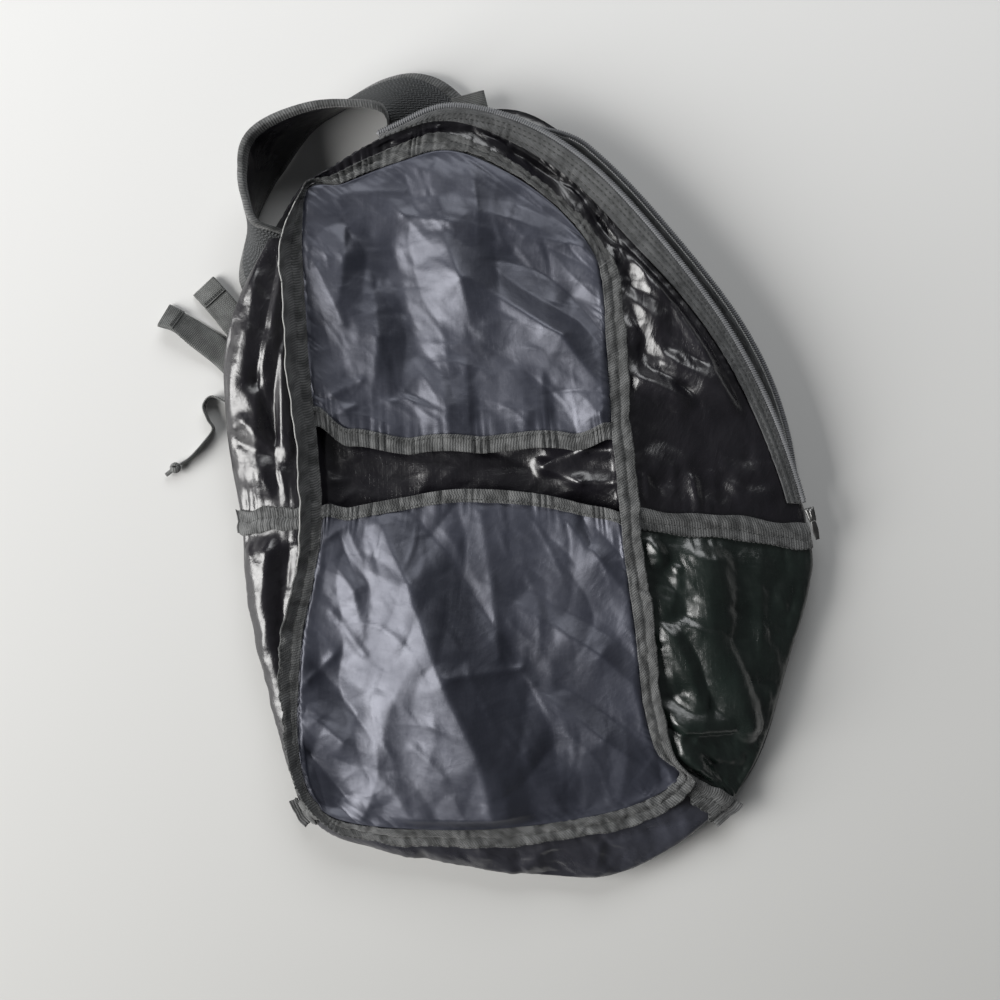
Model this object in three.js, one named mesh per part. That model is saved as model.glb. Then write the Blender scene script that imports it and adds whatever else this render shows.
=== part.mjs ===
// Packable backpack, turned inside out and lying on its back panel with the main zip open.
// Millimetres, +Z up. X runs across the bag, Y from its base to its top edge.
// The origin is the centre of the underside of the back panel.
import * as THREE from "three";

// Driving sizes of the bag as it lies
const BAG_WIDTH = 331;
const BAG_HEIGHT = 442;
const BAG_LOFT = 52; // height of the highest seam above the surface it lies on
const TUCK_DEPTH = 14; // how far the side cloth curls in under its own outline
const PANEL_SAG = 3; // how far the front panel sinks between its seams

// Cloth and tapes
const CLOTH = 1.2;
const POCKET_CLOTH = 1.0;
const TAPE_WIDTH = 11.5;
const TAPE_THICK = 1.2;
const HEM_WIDTH = 9;
const CROSS_BEYOND = 1.5; // how far a cross tape's end stands out of the outline
const CORNER_BEYOND = 5; // and a tape's end at a lower corner
const BACK_TAPE_WIDTH = 7;
const GAP = 0.4; // clearance between neighbouring pieces
const SEAM_GAP = 0.8; // clearance between two cloths that are sewn edge to edge

// Zip
const ZIP_TAPE_WIDTH = 15;
const ZIP_RISE = 6; // how high the rear half of the zip stands off the back panel
const COIL_WIDTH = 3.2;
const COIL_HEIGHT = 2.6;
const SLIDER_LENGTH = 11;
const SLIDER_WIDTH = 8;
const SLIDER_HEIGHT = 4.5;
const PULL_LENGTH = 16;
const PULL_WIDTH = 3.5;

// Shoulder straps, webbing and ribbon
const STRAP_WIDTH = 50;
const STRAP_THICK = 5;
const STRAP_BINDING = 4;
const WEBBING_WIDTH = 16;
const WEBBING_THICK = 1.5;
const LOOP_WIDTH = 19;
const RIBBON_WIDTH = 8;
const RIBBON_THICK = 1.1;
const KNOT_SIZE = 7;
const LOCK_LENGTH = 24;
const LOCK_WIDTH = 22;
const LOCK_THICK = 4;

// Folds in the cloth: the tables below give shares of these two
const FOLD_WIDTH = 12;
const FOLD_HEIGHT = 4.5;

// Fineness of the faceted surfaces
const STEPS_PER_STATION = 3;
const GUSSET_CELLS = 8;
const SHEET_CELLS = 10;

// Rows of numbers become objects with the named columns.
const table = (columns, rows) =>
  rows.map((row) => Object.fromEntries(columns.map((name, k) => [name, row[k]])));

// The seam round the front panel, clockwise from the left side seam: place and height of each
// station, and how far the free edge of its binding tape lifts. x is a share of BAG_WIDTH,
// y of BAG_HEIGHT, z of BAG_LOFT, lift of TAPE_WIDTH.
const SEAM = table(
  ["x", "y", "z", "lift"],
  [
    [-0.334, -0.032, 0.6, 0.3],
    [-0.351, 0.062, 0.64, 0.45],
    [-0.38, 0.206, 0.67, 0.5],
    [-0.361, 0.364, 0.68, 0.2],
    [-0.294, 0.384, 0.65, 0.15],
    [-0.202, 0.411, 0.64, 0.15],
    [-0.119, 0.425, 0.66, 0.2],
    [-0.026, 0.399, 0.66, 0.15],
    [0.069, 0.346, 0.68, 0.15],
    [0.131, 0.275, 0.74, 0.15],
    [0.144, 0.173, 0.8, 0.1],
    [0.154, 0.061, 0.84, 0.1],
    [0.167, -0.034, 0.78, 0.1],
    [0.178, -0.1, 0.72, 0.15],
    [0.195, -0.188, 0.66, 0.2],
    [0.208, -0.27, 0.58, 0.2],
    [0.231, -0.33, 0.5, 0.2],
    [0.269, -0.361, 0.44, 0.15],
    [0.203, -0.395, 0.44, 0.15],
    [0.092, -0.416, 0.48, 0.1],
    [-0.06, -0.428, 0.5, 0.1],
    [-0.203, -0.427, 0.48, 0.1],
    [-0.296, -0.419, 0.42, 0.15],
    [-0.34, -0.4, 0.42, 0.2],
    [-0.366, -0.359, 0.48, 0.25],
    [-0.376, -0.283, 0.5, 0.25],
    [-0.369, -0.189, 0.52, 0.2],
    [-0.346, -0.101, 0.56, 0.2],
  ],
);

// The outline of the bag at the same stations. z is the height of the outline, middle the height
// of the cloth half way to the seam, tuck how far the edge curls in under it (a share of
// TUCK_DEPTH), and rise how far that edge stays above the back panel (a share of BAG_LOFT).
const OUTLINE = table(
  ["x", "y", "z", "middle", "tuck", "rise"],
  [
    [-0.471, -0.042, 0.34, 0.56, 0.8, 0.05],
    [-0.492, 0.082, 0.46, 0.6, 0.3, 0.24],
    [-0.481, 0.211, 0.64, 0.68, 0.2, 0.46],
    [-0.379, 0.36, 0.7, 0.68, 0.15, 0.58],
    [-0.303, 0.408, 0.66, 0.62, 0.2, 0.54],
    [-0.199, 0.45, 0.68, 0.6, 0.1, 0.54],
    [-0.115, 0.473, 0.68, 0.58, 0.05, 0.54],
    [-0.001, 0.456, 0.6, 0.5, 0.05, 0.46],
    [0.108, 0.405, 0.6, 0.52, 0.05, 0.46],
    [0.216, 0.32, 0.6, 0.6, 0.05, 0.46],
    [0.337, 0.202, 0.58, 0.7, 0.05, 0.44],
    [0.423, 0.081, 0.5, 0.68, 0.05, 0.36],
    [0.485, -0.06, 0.34, 0.58, 0.5, 0.06],
    [0.485, -0.127, 0.34, 0.56, 0.9, 0],
    [0.452, -0.216, 0.33, 0.52, 1, 0],
    [0.416, -0.312, 0.3, 0.47, 0.9, 0],
    [0.382, -0.369, 0.28, 0.41, 0.8, 0],
    [0.347, -0.403, 0.26, 0.37, 0.7, 0],
    [0.252, -0.459, 0.24, 0.37, 0.8, 0],
    [0.136, -0.493, 0.24, 0.4, 0.9, 0],
    [-0.035, -0.485, 0.24, 0.41, 0.9, 0],
    [-0.188, -0.466, 0.22, 0.39, 0.8, 0],
    [-0.308, -0.445, 0.2, 0.34, 0.7, 0],
    [-0.366, -0.409, 0.2, 0.33, 0.6, 0],
    [-0.391, -0.355, 0.24, 0.42, 0.8, 0],
    [-0.418, -0.274, 0.27, 0.45, 0.9, 0],
    [-0.446, -0.185, 0.3, 0.49, 1, 0],
    [-0.465, -0.108, 0.32, 0.52, 1, 0],
  ],
);

// The outline of the back panel at the same stations
const BACK = table(
  ["x", "y"],
  [
    [-0.455, -0.043],
    [-0.478, 0.084],
    [-0.467, 0.217],
    [-0.374, 0.352],
    [-0.293, 0.403],
    [-0.198, 0.446],
    [-0.1, 0.484],
    [0.01, 0.487],
    [0.124, 0.429],
    [0.238, 0.341],
    [0.376, 0.207],
    [0.448, 0.084],
    [0.474, -0.061],
    [0.469, -0.129],
    [0.438, -0.22],
    [0.401, -0.317],
    [0.366, -0.368],
    [0.331, -0.397],
    [0.245, -0.448],
    [0.135, -0.479],
    [-0.035, -0.471],
    [-0.186, -0.453],
    [-0.3, -0.431],
    [-0.352, -0.403],
    [-0.374, -0.353],
    [-0.402, -0.271],
    [-0.431, -0.183],
    [-0.45, -0.11],
  ],
);

// Stations with a name
const LEFT_SIDE = 0;
const TOP_LEFT = 3;
const ZIP_START = 5;
const TOP_RIGHT = 9;
const RIGHT_SIDE = 12;
const BASE_RIGHT = 17;
const BASE_LEFT = 23;
const STATIONS = 28;

// Free edges of the two pocket sheets: u runs across the front panel from its left seam, v up it.
const UPPER_HEM = table(
  ["u", "v"],
  [
    [0, 0.765],
    [0.17, 0.722],
    [0.36, 0.678],
    [0.55, 0.663],
    [0.8, 0.693],
    [1, 0.75],
  ],
);
const LOWER_HEM = table(
  ["u", "v"],
  [
    [0, 0.633],
    [0.17, 0.62],
    [0.36, 0.608],
    [0.55, 0.603],
    [0.8, 0.606],
    [1, 0.625],
  ],
);

// Folds: a ridge from one point to another. x and y are shares of BAG_WIDTH and BAG_HEIGHT,
// wide of FOLD_WIDTH, high of FOLD_HEIGHT.
const FOLD_COLUMNS = ["x1", "y1", "x2", "y2", "wide", "high"];
const UPPER_SHEET_FOLDS = table(FOLD_COLUMNS, [
  [-0.153, 0.343, -0.095, 0.214, 1, 0.6],
  [-0.09, 0.25, 0.141, 0.116, 1, 0.65],
  [-0.285, 0.299, -0.201, 0.237, 1.3, 0.5],
  [0, 0.199, 0.091, 0.172, 1, 0.6],
  [-0.151, 0.081, -0.11, 0.118, 0.8, 0.5],
  [-0.018, 0.074, 0.032, 0.112, 0.8, 0.5],
  [0.116, 0.087, 0.066, 0.118, 0.8, 0.5],
  [-0.318, 0.237, -0.293, 0.124, 1.2, 0.45],
]);
const LOWER_SHEET_FOLDS = table(FOLD_COLUMNS, [
  [-0.246, -0.03, -0.183, -0.108, 1, 0.65],
  [-0.183, -0.108, -0.125, -0.233, 1.1, 0.7],
  [-0.12, -0.233, 0.017, -0.24, 0.9, 0.6],
  [-0.006, -0.166, 0.164, -0.246, 1, 0.6],
  [0.062, -0.295, 0.229, -0.364, 1, 0.6],
  [-0.345, -0.24, -0.276, -0.288, 0.9, 0.5],
  [-0.35, -0.316, -0.295, -0.386, 0.9, 0.5],
  [-0.285, -0.138, -0.235, -0.263, 1.4, 0.5],
]);
const GUSSET_FOLDS = table(FOLD_COLUMNS, [
  [0.167, 0.299, 0.221, 0.245, 0.9, 0.8],
  [0.232, 0.199, 0.299, 0.237, 1, 0.8],
  [0.182, 0.149, 0.294, 0.116, 0.9, 0.9],
  [0.259, 0.157, 0.364, 0.109, 0.9, 0.9],
  [0.212, -0.013, 0.224, 0.025, 0.8, 0.5],
  [0.282, -0.013, 0.299, 0.018, 0.8, 0.5],
  [0.219, -0.158, 0.321, -0.188, 0.9, 0.8],
  [0.321, -0.188, 0.377, -0.288, 1, 0.8],
  [0.239, -0.291, 0.341, -0.284, 0.8, 0.7],
  [0.249, -0.288, 0.264, -0.337, 0.8, 0.6],
  [0.397, -0.069, 0.397, -0.263, 0.8, 0.6],
  [-0.415, 0.255, -0.441, 0.162, 0.8, 0.8],
  [-0.433, 0.137, -0.431, 0.062, 0.8, 0.8],
  [-0.455, 0.072, -0.411, 0.052, 0.7, 0.6],
  [-0.403, 0.027, -0.375, -0.003, 0.7, 0.5],
  [-0.393, -0.088, -0.41, -0.188, 0.8, 0.6],
  [-0.431, -0.088, -0.393, -0.263, 0.8, 0.6],
]);

// Routes of what comes out of the mouth. x and y are shares of the bag, lean is the angle in
// degrees of the strap's width from the surface (90 stands on edge, 180 lies flat with its outer
// face up), over is the height of what lies beneath, in layers of webbing and clearance.
const ROUTE_COLUMNS = ["x", "y", "lean", "over"];
const STRAP_LEFT = table(ROUTE_COLUMNS, [
  [-0.08, 0.395, 180, 1],
  [-0.135, 0.45, 178, 1],
  [-0.178, 0.484, 157, 0.7],
  [-0.225, 0.497, 124, 0.2],
  [-0.295, 0.486, 102, 0],
  [-0.36, 0.468, 88, 0],
  [-0.425, 0.429, 64, 0],
  [-0.453, 0.388, 66, 0],
  [-0.453, 0.362, 88, 0],
  [-0.456, 0.337, 122, 0.3],
  [-0.438, 0.315, 154, 0.9],
  [-0.402, 0.282, 172, 2],
  [-0.37, 0.25, 178, 2.4],
  [-0.345, 0.21, 180, 2.4],
]);
const STRAP_RIGHT = table(ROUTE_COLUMNS, [
  [0.02, 0.35, 180, 0.4],
  [0.09, 0.25, 180, 0.4],
  [0.17, 0.12, 180, 0.4],
  [0.2, -0.02, 180, 0.4],
]);
const TAIL_LEFT = table(ROUTE_COLUMNS, [
  [-0.36, 0.165, 180, 1.5],
  [-0.42, 0.182, 180, 1.5],
  [-0.476, 0.205, 180, 1.5],
  [-0.512, 0.236, 178, 0.9],
  [-0.545, 0.263, 184, 0],
]);
const TAIL_RIGHT = table(ROUTE_COLUMNS, [
  [-0.33, 0.09, 180, 0.4],
  [-0.41, 0.115, 180, 0.4],
  [-0.47, 0.147, 176, 0.4],
  [-0.512, 0.176, 170, 0],
  [-0.55, 0.197, 155, 0],
  [-0.582, 0.214, 140, 0],
  [-0.612, 0.224, 150, 0],
]);
const PULL_RIBBON = table(ROUTE_COLUMNS, [
  [-0.445, 0.1, 90, 0.4],
  [-0.5, 0.112, 90, 0.4],
  [-0.529, 0.12, 90, 0],
  [-0.543, 0.108, 90, 0],
  [-0.536, 0.091, 90, 0],
  [-0.527, 0.078, 90, 0],
  [-0.541, 0.062, 90, 0],
  [-0.565, 0.042, 90, 0],
  [-0.583, 0.033, 90, 0],
]);
const HAUL_LOOP = table(ROUTE_COLUMNS, [
  [-0.045, 0.405, 180, 4.5],
  [-0.065, 0.44, 180, 4.5],
  [-0.078, 0.47, 180, 4.7],
  [-0.09, 0.505, 182, 4.7],
]);

// Finishes
const finish = (color, roughness, metalness = 0) =>
  new THREE.MeshStandardMaterial({ color, roughness, metalness });
const RIPSTOP = finish(0x2e2d31, 0.32);
const RIPSTOP_GREEN = finish(0x262b29, 0.3);
const LINING = finish(0x4c4d59, 0.45);
const TAPE = finish(0x5a5d5e, 0.85);
const ZIP_CLOTH = finish(0x55585a, 0.8);
const COIL = finish(0x62646a, 0.5);
const MESH_PAD = finish(0x4a4c4e, 0.95);
const WEBBING = finish(0x6e706f, 0.8);
const METAL = finish(0xb4b4b0, 0.3, 0.9);
const PLASTIC = finish(0x232325, 0.5);

const bag = new THREE.Group();
bag.name = "packable_backpack";

// The piece under this name in the group
function add(name, geometry, material) {
  const mesh = new THREE.Mesh(geometry, material);
  mesh.name = name;
  bag.add(mesh);
  return mesh;
}

// Smooth curve through four values, at a share of the way from the second to the third
function curve(before, from, to, after, share) {
  const square = share * share;
  const cube = square * share;
  return (
    0.5 *
    (2 * from +
      (to - before) * share +
      (2 * before - 5 * from + 4 * to - after) * square +
      (3 * from - before - 3 * to + after) * cube)
  );
}

// Value of one column of a closed table, read round its stations
function around(rows, column, station) {
  const count = rows.length;
  const whole = Math.floor(station);
  const pick = (k) => rows[(((whole + k) % count) + count) % count][column];
  return curve(pick(-1), pick(0), pick(1), pick(2), station - whole);
}

// Value of one column of an open table, read from end to end
function along(rows, column, share) {
  const last = rows.length - 1;
  const place = Math.min(Math.max(share, 0), 1) * last;
  const whole = Math.min(Math.floor(place), last - 1);
  const pick = (k) => {
    if (k < 0) return 2 * rows[0][column] - rows[1][column];
    if (k > last) return 2 * rows[last][column] - rows[last - 1][column];
    return rows[k][column];
  };
  return curve(pick(whole - 1), pick(whole), pick(whole + 1), pick(whole + 2), place - whole);
}

// Straight reading of a table that is sorted by its first named column
function lookup(rows, from, to, value) {
  const next = Math.max(1, rows.findIndex((row, k) => k > 0 && row[from] >= value));
  const low = rows[next - 1];
  const high = rows[next];
  const share = (value - low[from]) / (high[from] - low[from]);
  const smooth = share * share * (3 - 2 * share);
  return low[to] + (high[to] - low[to]) * (0.5 * share + 0.5 * smooth);
}

// Sum of all ridges at one place, in millimetres
function foldHeight(x, y, folds) {
  let height = 0;
  for (const fold of folds) {
    const ax = fold.x1 * BAG_WIDTH;
    const ay = fold.y1 * BAG_HEIGHT;
    const bx = fold.x2 * BAG_WIDTH - ax;
    const by = fold.y2 * BAG_HEIGHT - ay;
    const share = ((x - ax) * bx + (y - ay) * by) / (bx * bx + by * by);
    const held = Math.min(Math.max(share, 0), 1);
    const distance = Math.hypot(x - ax - held * bx, y - ay - held * by);
    height += fold.high * FOLD_HEIGHT * Math.exp(-((distance / (fold.wide * FOLD_WIDTH)) ** 2));
  }
  return height;
}

// Rises from 0 to 1 over the given reach
function ease(value, reach) {
  const share = Math.min(Math.max(value / reach, 0), 1);
  return share * share * (3 - 2 * share);
}

// Closed slab round a grid of points: each side lies half the thickness along the grid's normal.
function slab(rows, columns, point, thickness) {
  const width = columns + 1;
  const grid = [];
  for (let i = 0; i <= rows; i++) {
    for (let j = 0; j <= columns; j++) grid.push(point(i / rows, j / columns));
  }
  const at = (i, j) => {
    const row = Math.min(Math.max(i, 0), rows);
    const column = Math.min(Math.max(j, 0), columns);
    return grid[row * width + column];
  };
  const positions = [];
  for (const side of [0.5, -0.5]) {
    for (let i = 0; i <= rows; i++) {
      for (let j = 0; j <= columns; j++) {
        const lengthwise = at(i + 1, j).clone().sub(at(i - 1, j));
        const crosswise = at(i, j + 1).clone().sub(at(i, j - 1));
        const normal = lengthwise.cross(crosswise).normalize();
        const moved = at(i, j).clone().addScaledVector(normal, side * thickness);
        positions.push(moved.x, moved.y, moved.z);
      }
    }
  }
  const below = (rows + 1) * width;
  const faces = [];
  for (let i = 0; i < rows; i++) {
    for (let j = 0; j < columns; j++) {
      const a = i * width + j;
      const b = a + width;
      faces.push(a, b, b + 1, a, b + 1, a + 1);
      faces.push(below + a, below + b + 1, below + b, below + a, below + a + 1, below + b + 1);
    }
  }
  const rim = [];
  for (let i = 0; i < rows; i++) rim.push(i * width);
  for (let j = 0; j < columns; j++) rim.push(rows * width + j);
  for (let i = rows; i > 0; i--) rim.push(i * width + columns);
  for (let j = columns; j > 0; j--) rim.push(j);
  rim.forEach((p, k) => {
    const q = rim[(k + 1) % rim.length];
    faces.push(q, p, below + p, q, below + p, below + q);
  });
  const geometry = new THREE.BufferGeometry();
  geometry.setAttribute("position", new THREE.Float32BufferAttribute(positions, 3));
  geometry.setIndex(faces);
  geometry.computeVertexNormals();
  return geometry;
}

// A point of the front seam, of the outline and of the back panel's outline
const seamPoint = (station) =>
  new THREE.Vector3(
    around(SEAM, "x", station) * BAG_WIDTH,
    around(SEAM, "y", station) * BAG_HEIGHT,
    around(SEAM, "z", station) * BAG_LOFT,
  );
const outlinePoint = (station) =>
  new THREE.Vector3(
    around(OUTLINE, "x", station) * BAG_WIDTH,
    around(OUTLINE, "y", station) * BAG_HEIGHT,
    around(OUTLINE, "z", station) * BAG_LOFT,
  );
const backPoint = (station) =>
  new THREE.Vector3(
    around(BACK, "x", station) * BAG_WIDTH,
    around(BACK, "y", station) * BAG_HEIGHT,
    0,
  );

// Level direction out of the bag at a station of the given outline
function outward(pointAt, station) {
  const step = 0.05;
  const run = pointAt(station + step).sub(pointAt(station - step));
  return new THREE.Vector3(-run.y, run.x, 0).normalize();
}

// Side cloth: one section at each station, through the seam, the middle, the outline and the
// tucked edge, at these shares of the way
const MIDDLE_SHARE = 0.42;
const OUTLINE_SHARE = 0.82;
const EDGE_SEAT = CLOTH * 1.5 + GAP * 1.5; // height of a sewn lower edge over the back panel
function sectionPoints(station) {
  const seam = seamPoint(station);
  const outline = outlinePoint(station);
  const middle = seam.clone().lerp(outline, 0.52);
  middle.z = around(OUTLINE, "middle", station) * BAG_LOFT;
  const inward = outward(outlinePoint, station).negate();
  const tuck = Math.max(around(OUTLINE, "tuck", station), 0.04) * TUCK_DEPTH;
  const edge = outline.clone().addScaledVector(inward, tuck);
  edge.z = EDGE_SEAT + Math.max(around(OUTLINE, "rise", station), 0) * BAG_LOFT;
  return [seam, middle, outline, edge];
}
function gussetPoint(station, share) {
  const [seam, middle, outline, edge] = sectionPoints(station);
  const knots = [0, MIDDLE_SHARE, OUTLINE_SHARE, 1];
  const points = [seam, middle, outline, edge];
  const piece = share < knots[1] ? 0 : share < knots[2] ? 1 : 2;
  const inside = (share - knots[piece]) / (knots[piece + 1] - knots[piece]);
  const before = points[piece - 1] || seam.clone().multiplyScalar(2).sub(middle);
  const after = points[piece + 2] || edge.clone().multiplyScalar(2).sub(outline);
  const place = new THREE.Vector3();
  for (const axis of ["x", "y", "z"]) {
    place[axis] = curve(
      before[axis],
      points[piece][axis],
      points[piece + 1][axis],
      after[axis],
      inside,
    );
  }
  let free = ease(share, 0.18) * ease(OUTLINE_SHARE - share, 0.2);
  for (const seamed of [LEFT_SIDE, RIGHT_SIDE, BASE_RIGHT, BASE_LEFT, STATIONS]) {
    free *= ease(Math.abs(station - seamed), 0.6);
  }
  place.z += free * foldHeight(place.x, place.y, GUSSET_FOLDS);
  return place;
}

// Direction out of the side cloth, and the point at a clearance from it
function gussetOffset(station, share, clearance) {
  const step = 0.02;
  const low = Math.max(share - step, 0);
  const run = gussetPoint(station + step, share).sub(gussetPoint(station - step, share));
  const across = gussetPoint(station, low + 2 * step).sub(gussetPoint(station, low));
  const normal = run.cross(across).normalize();
  return gussetPoint(station, share).addScaledVector(normal, clearance);
}

// Stations and shares that lie a length in millimetres further on
function stationStep(station, length) {
  const step = 0.05;
  const run = seamPoint(station + step).distanceTo(seamPoint(station - step));
  return (length * 2 * step) / run;
}
function shareOf(station, length) {
  const [seam, middle] = sectionPoints(station);
  return (length / seam.distanceTo(middle)) * MIDDLE_SHARE;
}
const OUTLINE_BACK = 0.9; // a share of the section length, from the outline towards the seam
function shareBack(station, length) {
  const [, middle, outline] = sectionPoints(station);
  const span = OUTLINE_SHARE - MIDDLE_SHARE;
  return OUTLINE_SHARE - (length / middle.distanceTo(outline)) * span * OUTLINE_BACK;
}

// Four pieces of side cloth, each between two stations
function gusset(name, from, to, material) {
  const start = from + stationStep(from, SEAM_GAP);
  const stop = to - stationStep(to, SEAM_GAP);
  const rows = Math.round((to - from) * STEPS_PER_STATION);
  const point = (i, j) => {
    const station = i === 0 ? start : i === 1 ? stop : from + (to - from) * i;
    const first = shareOf(station, SEAM_GAP);
    return gussetPoint(station, first + (1 - first) * j);
  };
  add(name, slab(rows, GUSSET_CELLS, point, CLOTH), material);
}

// Front panel: a patch between its four seams, sunk a little in the middle
function panelPoint(u, v) {
  const left = seamPoint(BASE_LEFT + (STATIONS + TOP_LEFT - BASE_LEFT) * v);
  const right = seamPoint(BASE_RIGHT - (BASE_RIGHT - TOP_RIGHT) * v);
  const base = seamPoint(BASE_LEFT - (BASE_LEFT - BASE_RIGHT) * u);
  const top = seamPoint(TOP_LEFT + (TOP_RIGHT - TOP_LEFT) * u);
  const place = left.multiplyScalar(1 - u).addScaledVector(right, u);
  place.addScaledVector(base, 1 - v).addScaledVector(top, v);
  place.addScaledVector(seamPoint(BASE_LEFT), -(1 - u) * (1 - v));
  place.addScaledVector(seamPoint(BASE_RIGHT), -u * (1 - v));
  place.addScaledVector(seamPoint(TOP_LEFT), -(1 - u) * v);
  place.addScaledVector(seamPoint(TOP_RIGHT), -u * v);
  place.z -= PANEL_SAG * Math.sin(Math.PI * u) * Math.sin(Math.PI * v);
  return place;
}
const PANEL_COLUMNS = Math.round((TOP_RIGHT - TOP_LEFT) * STEPS_PER_STATION);
const PANEL_ROWS = Math.round((BASE_RIGHT - TOP_RIGHT) * STEPS_PER_STATION);
const panelInset = (inset, share) => inset + (1 - 2 * inset) * share;

function frontPanel() {
  const u = SEAM_GAP / (0.55 * BAG_WIDTH);
  const v = SEAM_GAP / (0.8 * BAG_HEIGHT);
  const point = (i, j) => panelPoint(panelInset(u, i), panelInset(v, j));
  add("front_panel", slab(PANEL_COLUMNS, PANEL_ROWS, point, CLOTH), RIPSTOP);
}

// A pocket sheet lies on the front panel and rises from it in folds.
const SHEET_SEAT = CLOTH / 2 + GAP * 1.5 + POCKET_CLOTH / 2;
const SHEET_INSET = (4 * SEAM_GAP) / BAG_WIDTH;
const sheetShare = (share) => SHEET_INSET + (1 - 2.5 * SHEET_INSET) * share;
function sheetPoint(u, v, low, high, folds) {
  const place = panelPoint(u, low + (high - low) * v);
  const sides = ease(u, 0.15) * ease(1 - u, 0.15);
  const ends = ease(v, 0.1) * ease(1 - v, 0.1);
  place.z += SHEET_SEAT + sides * ends * Math.min(foldHeight(place.x, place.y, folds), GAP * 7);
  return place;
}
function pocketSheet(name, lowAt, highAt, folds) {
  const point = (i, j) => {
    const u = sheetShare(i);
    return sheetPoint(u, j, lowAt(u), highAt(u), folds);
  };
  add(name, slab(PANEL_COLUMNS, SHEET_CELLS, point, POCKET_CLOTH), LINING);
}
const TOP_INSET = (4 * SEAM_GAP) / BAG_HEIGHT;
const upperHem = (u) => lookup(UPPER_HEM, "u", "v", u);
const lowerHem = (u) => lookup(LOWER_HEM, "u", "v", u);
const sheetTop = () => 1 - TOP_INSET;
const sheetBase = () => TOP_INSET;

// The tape over a pocket's free edge lies on the sheet along its first row.
function hemTape(name, lowAt, highAt, atTop, folds) {
  const width = HEM_WIDTH / (0.85 * BAG_HEIGHT);
  const point = (i, j) => {
    const u = sheetShare(i);
    const low = lowAt(u);
    const high = highAt(u);
    const share = width / (high - low);
    const v = atTop ? 1 - share * (1 - j) : share * j;
    const place = sheetPoint(u, v, low, high, folds);
    place.z += POCKET_CLOTH / 2 + GAP * 2 + TAPE_THICK / 2;
    return place;
  };
  add(name, slab(PANEL_COLUMNS, 1, point, TAPE_THICK), TAPE);
}

// Binding tape over the front seam: it lies on the side cloth and its free edge lifts.
const TAPE_SEAT = CLOTH / 2 + GAP * 2 + TAPE_THICK / 2;
const TAPE_CELLS = 2;
const TAPE_REACH = 0.62; // the most of the side cloth's level width that a tape covers
function tapeReach(station) {
  const span = seamPoint(station).setZ(0).distanceTo(outlinePoint(station).setZ(0));
  return Math.min(TAPE_WIDTH, TAPE_REACH * span);
}
function seamTape(name, from, to) {
  const rows = Math.round((to - from) * STEPS_PER_STATION);
  const start = from + stationStep(from, GAP);
  const stop = to - stationStep(to, GAP);
  const point = (i, j) => {
    const station = i === 0 ? start : i === 1 ? stop : from + (to - from) * i;
    const share = shareOf(station, GAP + tapeReach(station) * j);
    const place = gussetOffset(station, share, TAPE_SEAT);
    place.z += around(SEAM, "lift", station) * TAPE_WIDTH * j * j;
    return place;
  };
  add(name, slab(rows, TAPE_CELLS, point, TAPE_THICK), TAPE);
}

// Tape across the side cloth at a station, from the seam tape's edge to the outline and a length
// beyond it
function crossTape(name, station, beyond) {
  const half = stationStep(station, TAPE_WIDTH / 2);
  const rows = 9;
  const outer = 2 / rows;
  const point = (i, j) => {
    const place = station + (2 * j - 1) * half;
    const first = shareOf(place, tapeReach(place) + GAP * 4);
    const inside = Math.min((1 - i) / (1 - outer), 1);
    const share = first + (OUTLINE_SHARE - first) * inside;
    const spot = gussetOffset(place, share, TAPE_SEAT + GAP * 0.25);
    const over = Math.max(1 - i / outer, 0) * beyond;
    return spot.addScaledVector(outward(outlinePoint, place), over);
  };
  add(name, slab(rows, 2, point, TAPE_THICK), TAPE);
}

// Back panel: a flat plate with the outline of the back
function backPanel() {
  const shape = new THREE.Shape();
  const steps = STATIONS * STEPS_PER_STATION;
  for (let k = 0; k < steps; k++) {
    const place = backPoint((k * STATIONS) / steps);
    if (k === 0) shape.moveTo(place.x, place.y);
    else shape.lineTo(place.x, place.y);
  }
  const plate = new THREE.ExtrudeGeometry(shape, { depth: CLOTH, bevelEnabled: false });
  add("back_panel", plate, RIPSTOP);
}
function backTape() {
  const rows = Math.round((STATIONS - RIGHT_SIDE) * STEPS_PER_STATION);
  const point = (i, j) => {
    const station = RIGHT_SIDE + (STATIONS - RIGHT_SIDE) * i;
    const place = backPoint(station);
    const reach = GAP * 2 + BACK_TAPE_WIDTH * j;
    place.addScaledVector(outward(backPoint, station), reach);
    place.z = TAPE_THICK / 2 + GAP * 0.1;
    return place;
  };
  add("binding_back_seam", slab(rows, 1, point, TAPE_THICK), TAPE);
}

// Front half of the zip: a tape along the edge of the side cloth and a coil outside it
const ZIP_SEAT = CLOTH / 2 + GAP * 2 + TAPE_THICK / 2;
const ZIP_END = RIGHT_SIDE - 1 / STEPS_PER_STATION;
function zipReach(station) {
  const span = seamPoint(station).setZ(0).distanceTo(outlinePoint(station).setZ(0));
  return Math.min(ZIP_TAPE_WIDTH, span - tapeReach(station) - GAP * 6);
}
function frontZip() {
  const rows = Math.round((ZIP_END - ZIP_START) * STEPS_PER_STATION);
  const tape = (i, j) => {
    const station = ZIP_START + (ZIP_END - ZIP_START) * i;
    const inner = shareBack(station, zipReach(station));
    const share = inner + (OUTLINE_SHARE - inner) * j;
    return gussetOffset(station, share, ZIP_SEAT);
  };
  add("zip_tape_front", slab(rows, 2, tape, TAPE_THICK), ZIP_CLOTH);
  const coil = (i, j) => {
    const station = ZIP_START + (ZIP_END - ZIP_START) * i;
    const place = gussetOffset(station, OUTLINE_SHARE, ZIP_SEAT);
    const out = outward(outlinePoint, station);
    place.addScaledVector(out, GAP * 1.6 + COIL_WIDTH * j);
    return place;
  };
  add("zip_coil_front", slab(rows, 1, coil, COIL_HEIGHT), COIL);
}

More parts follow.
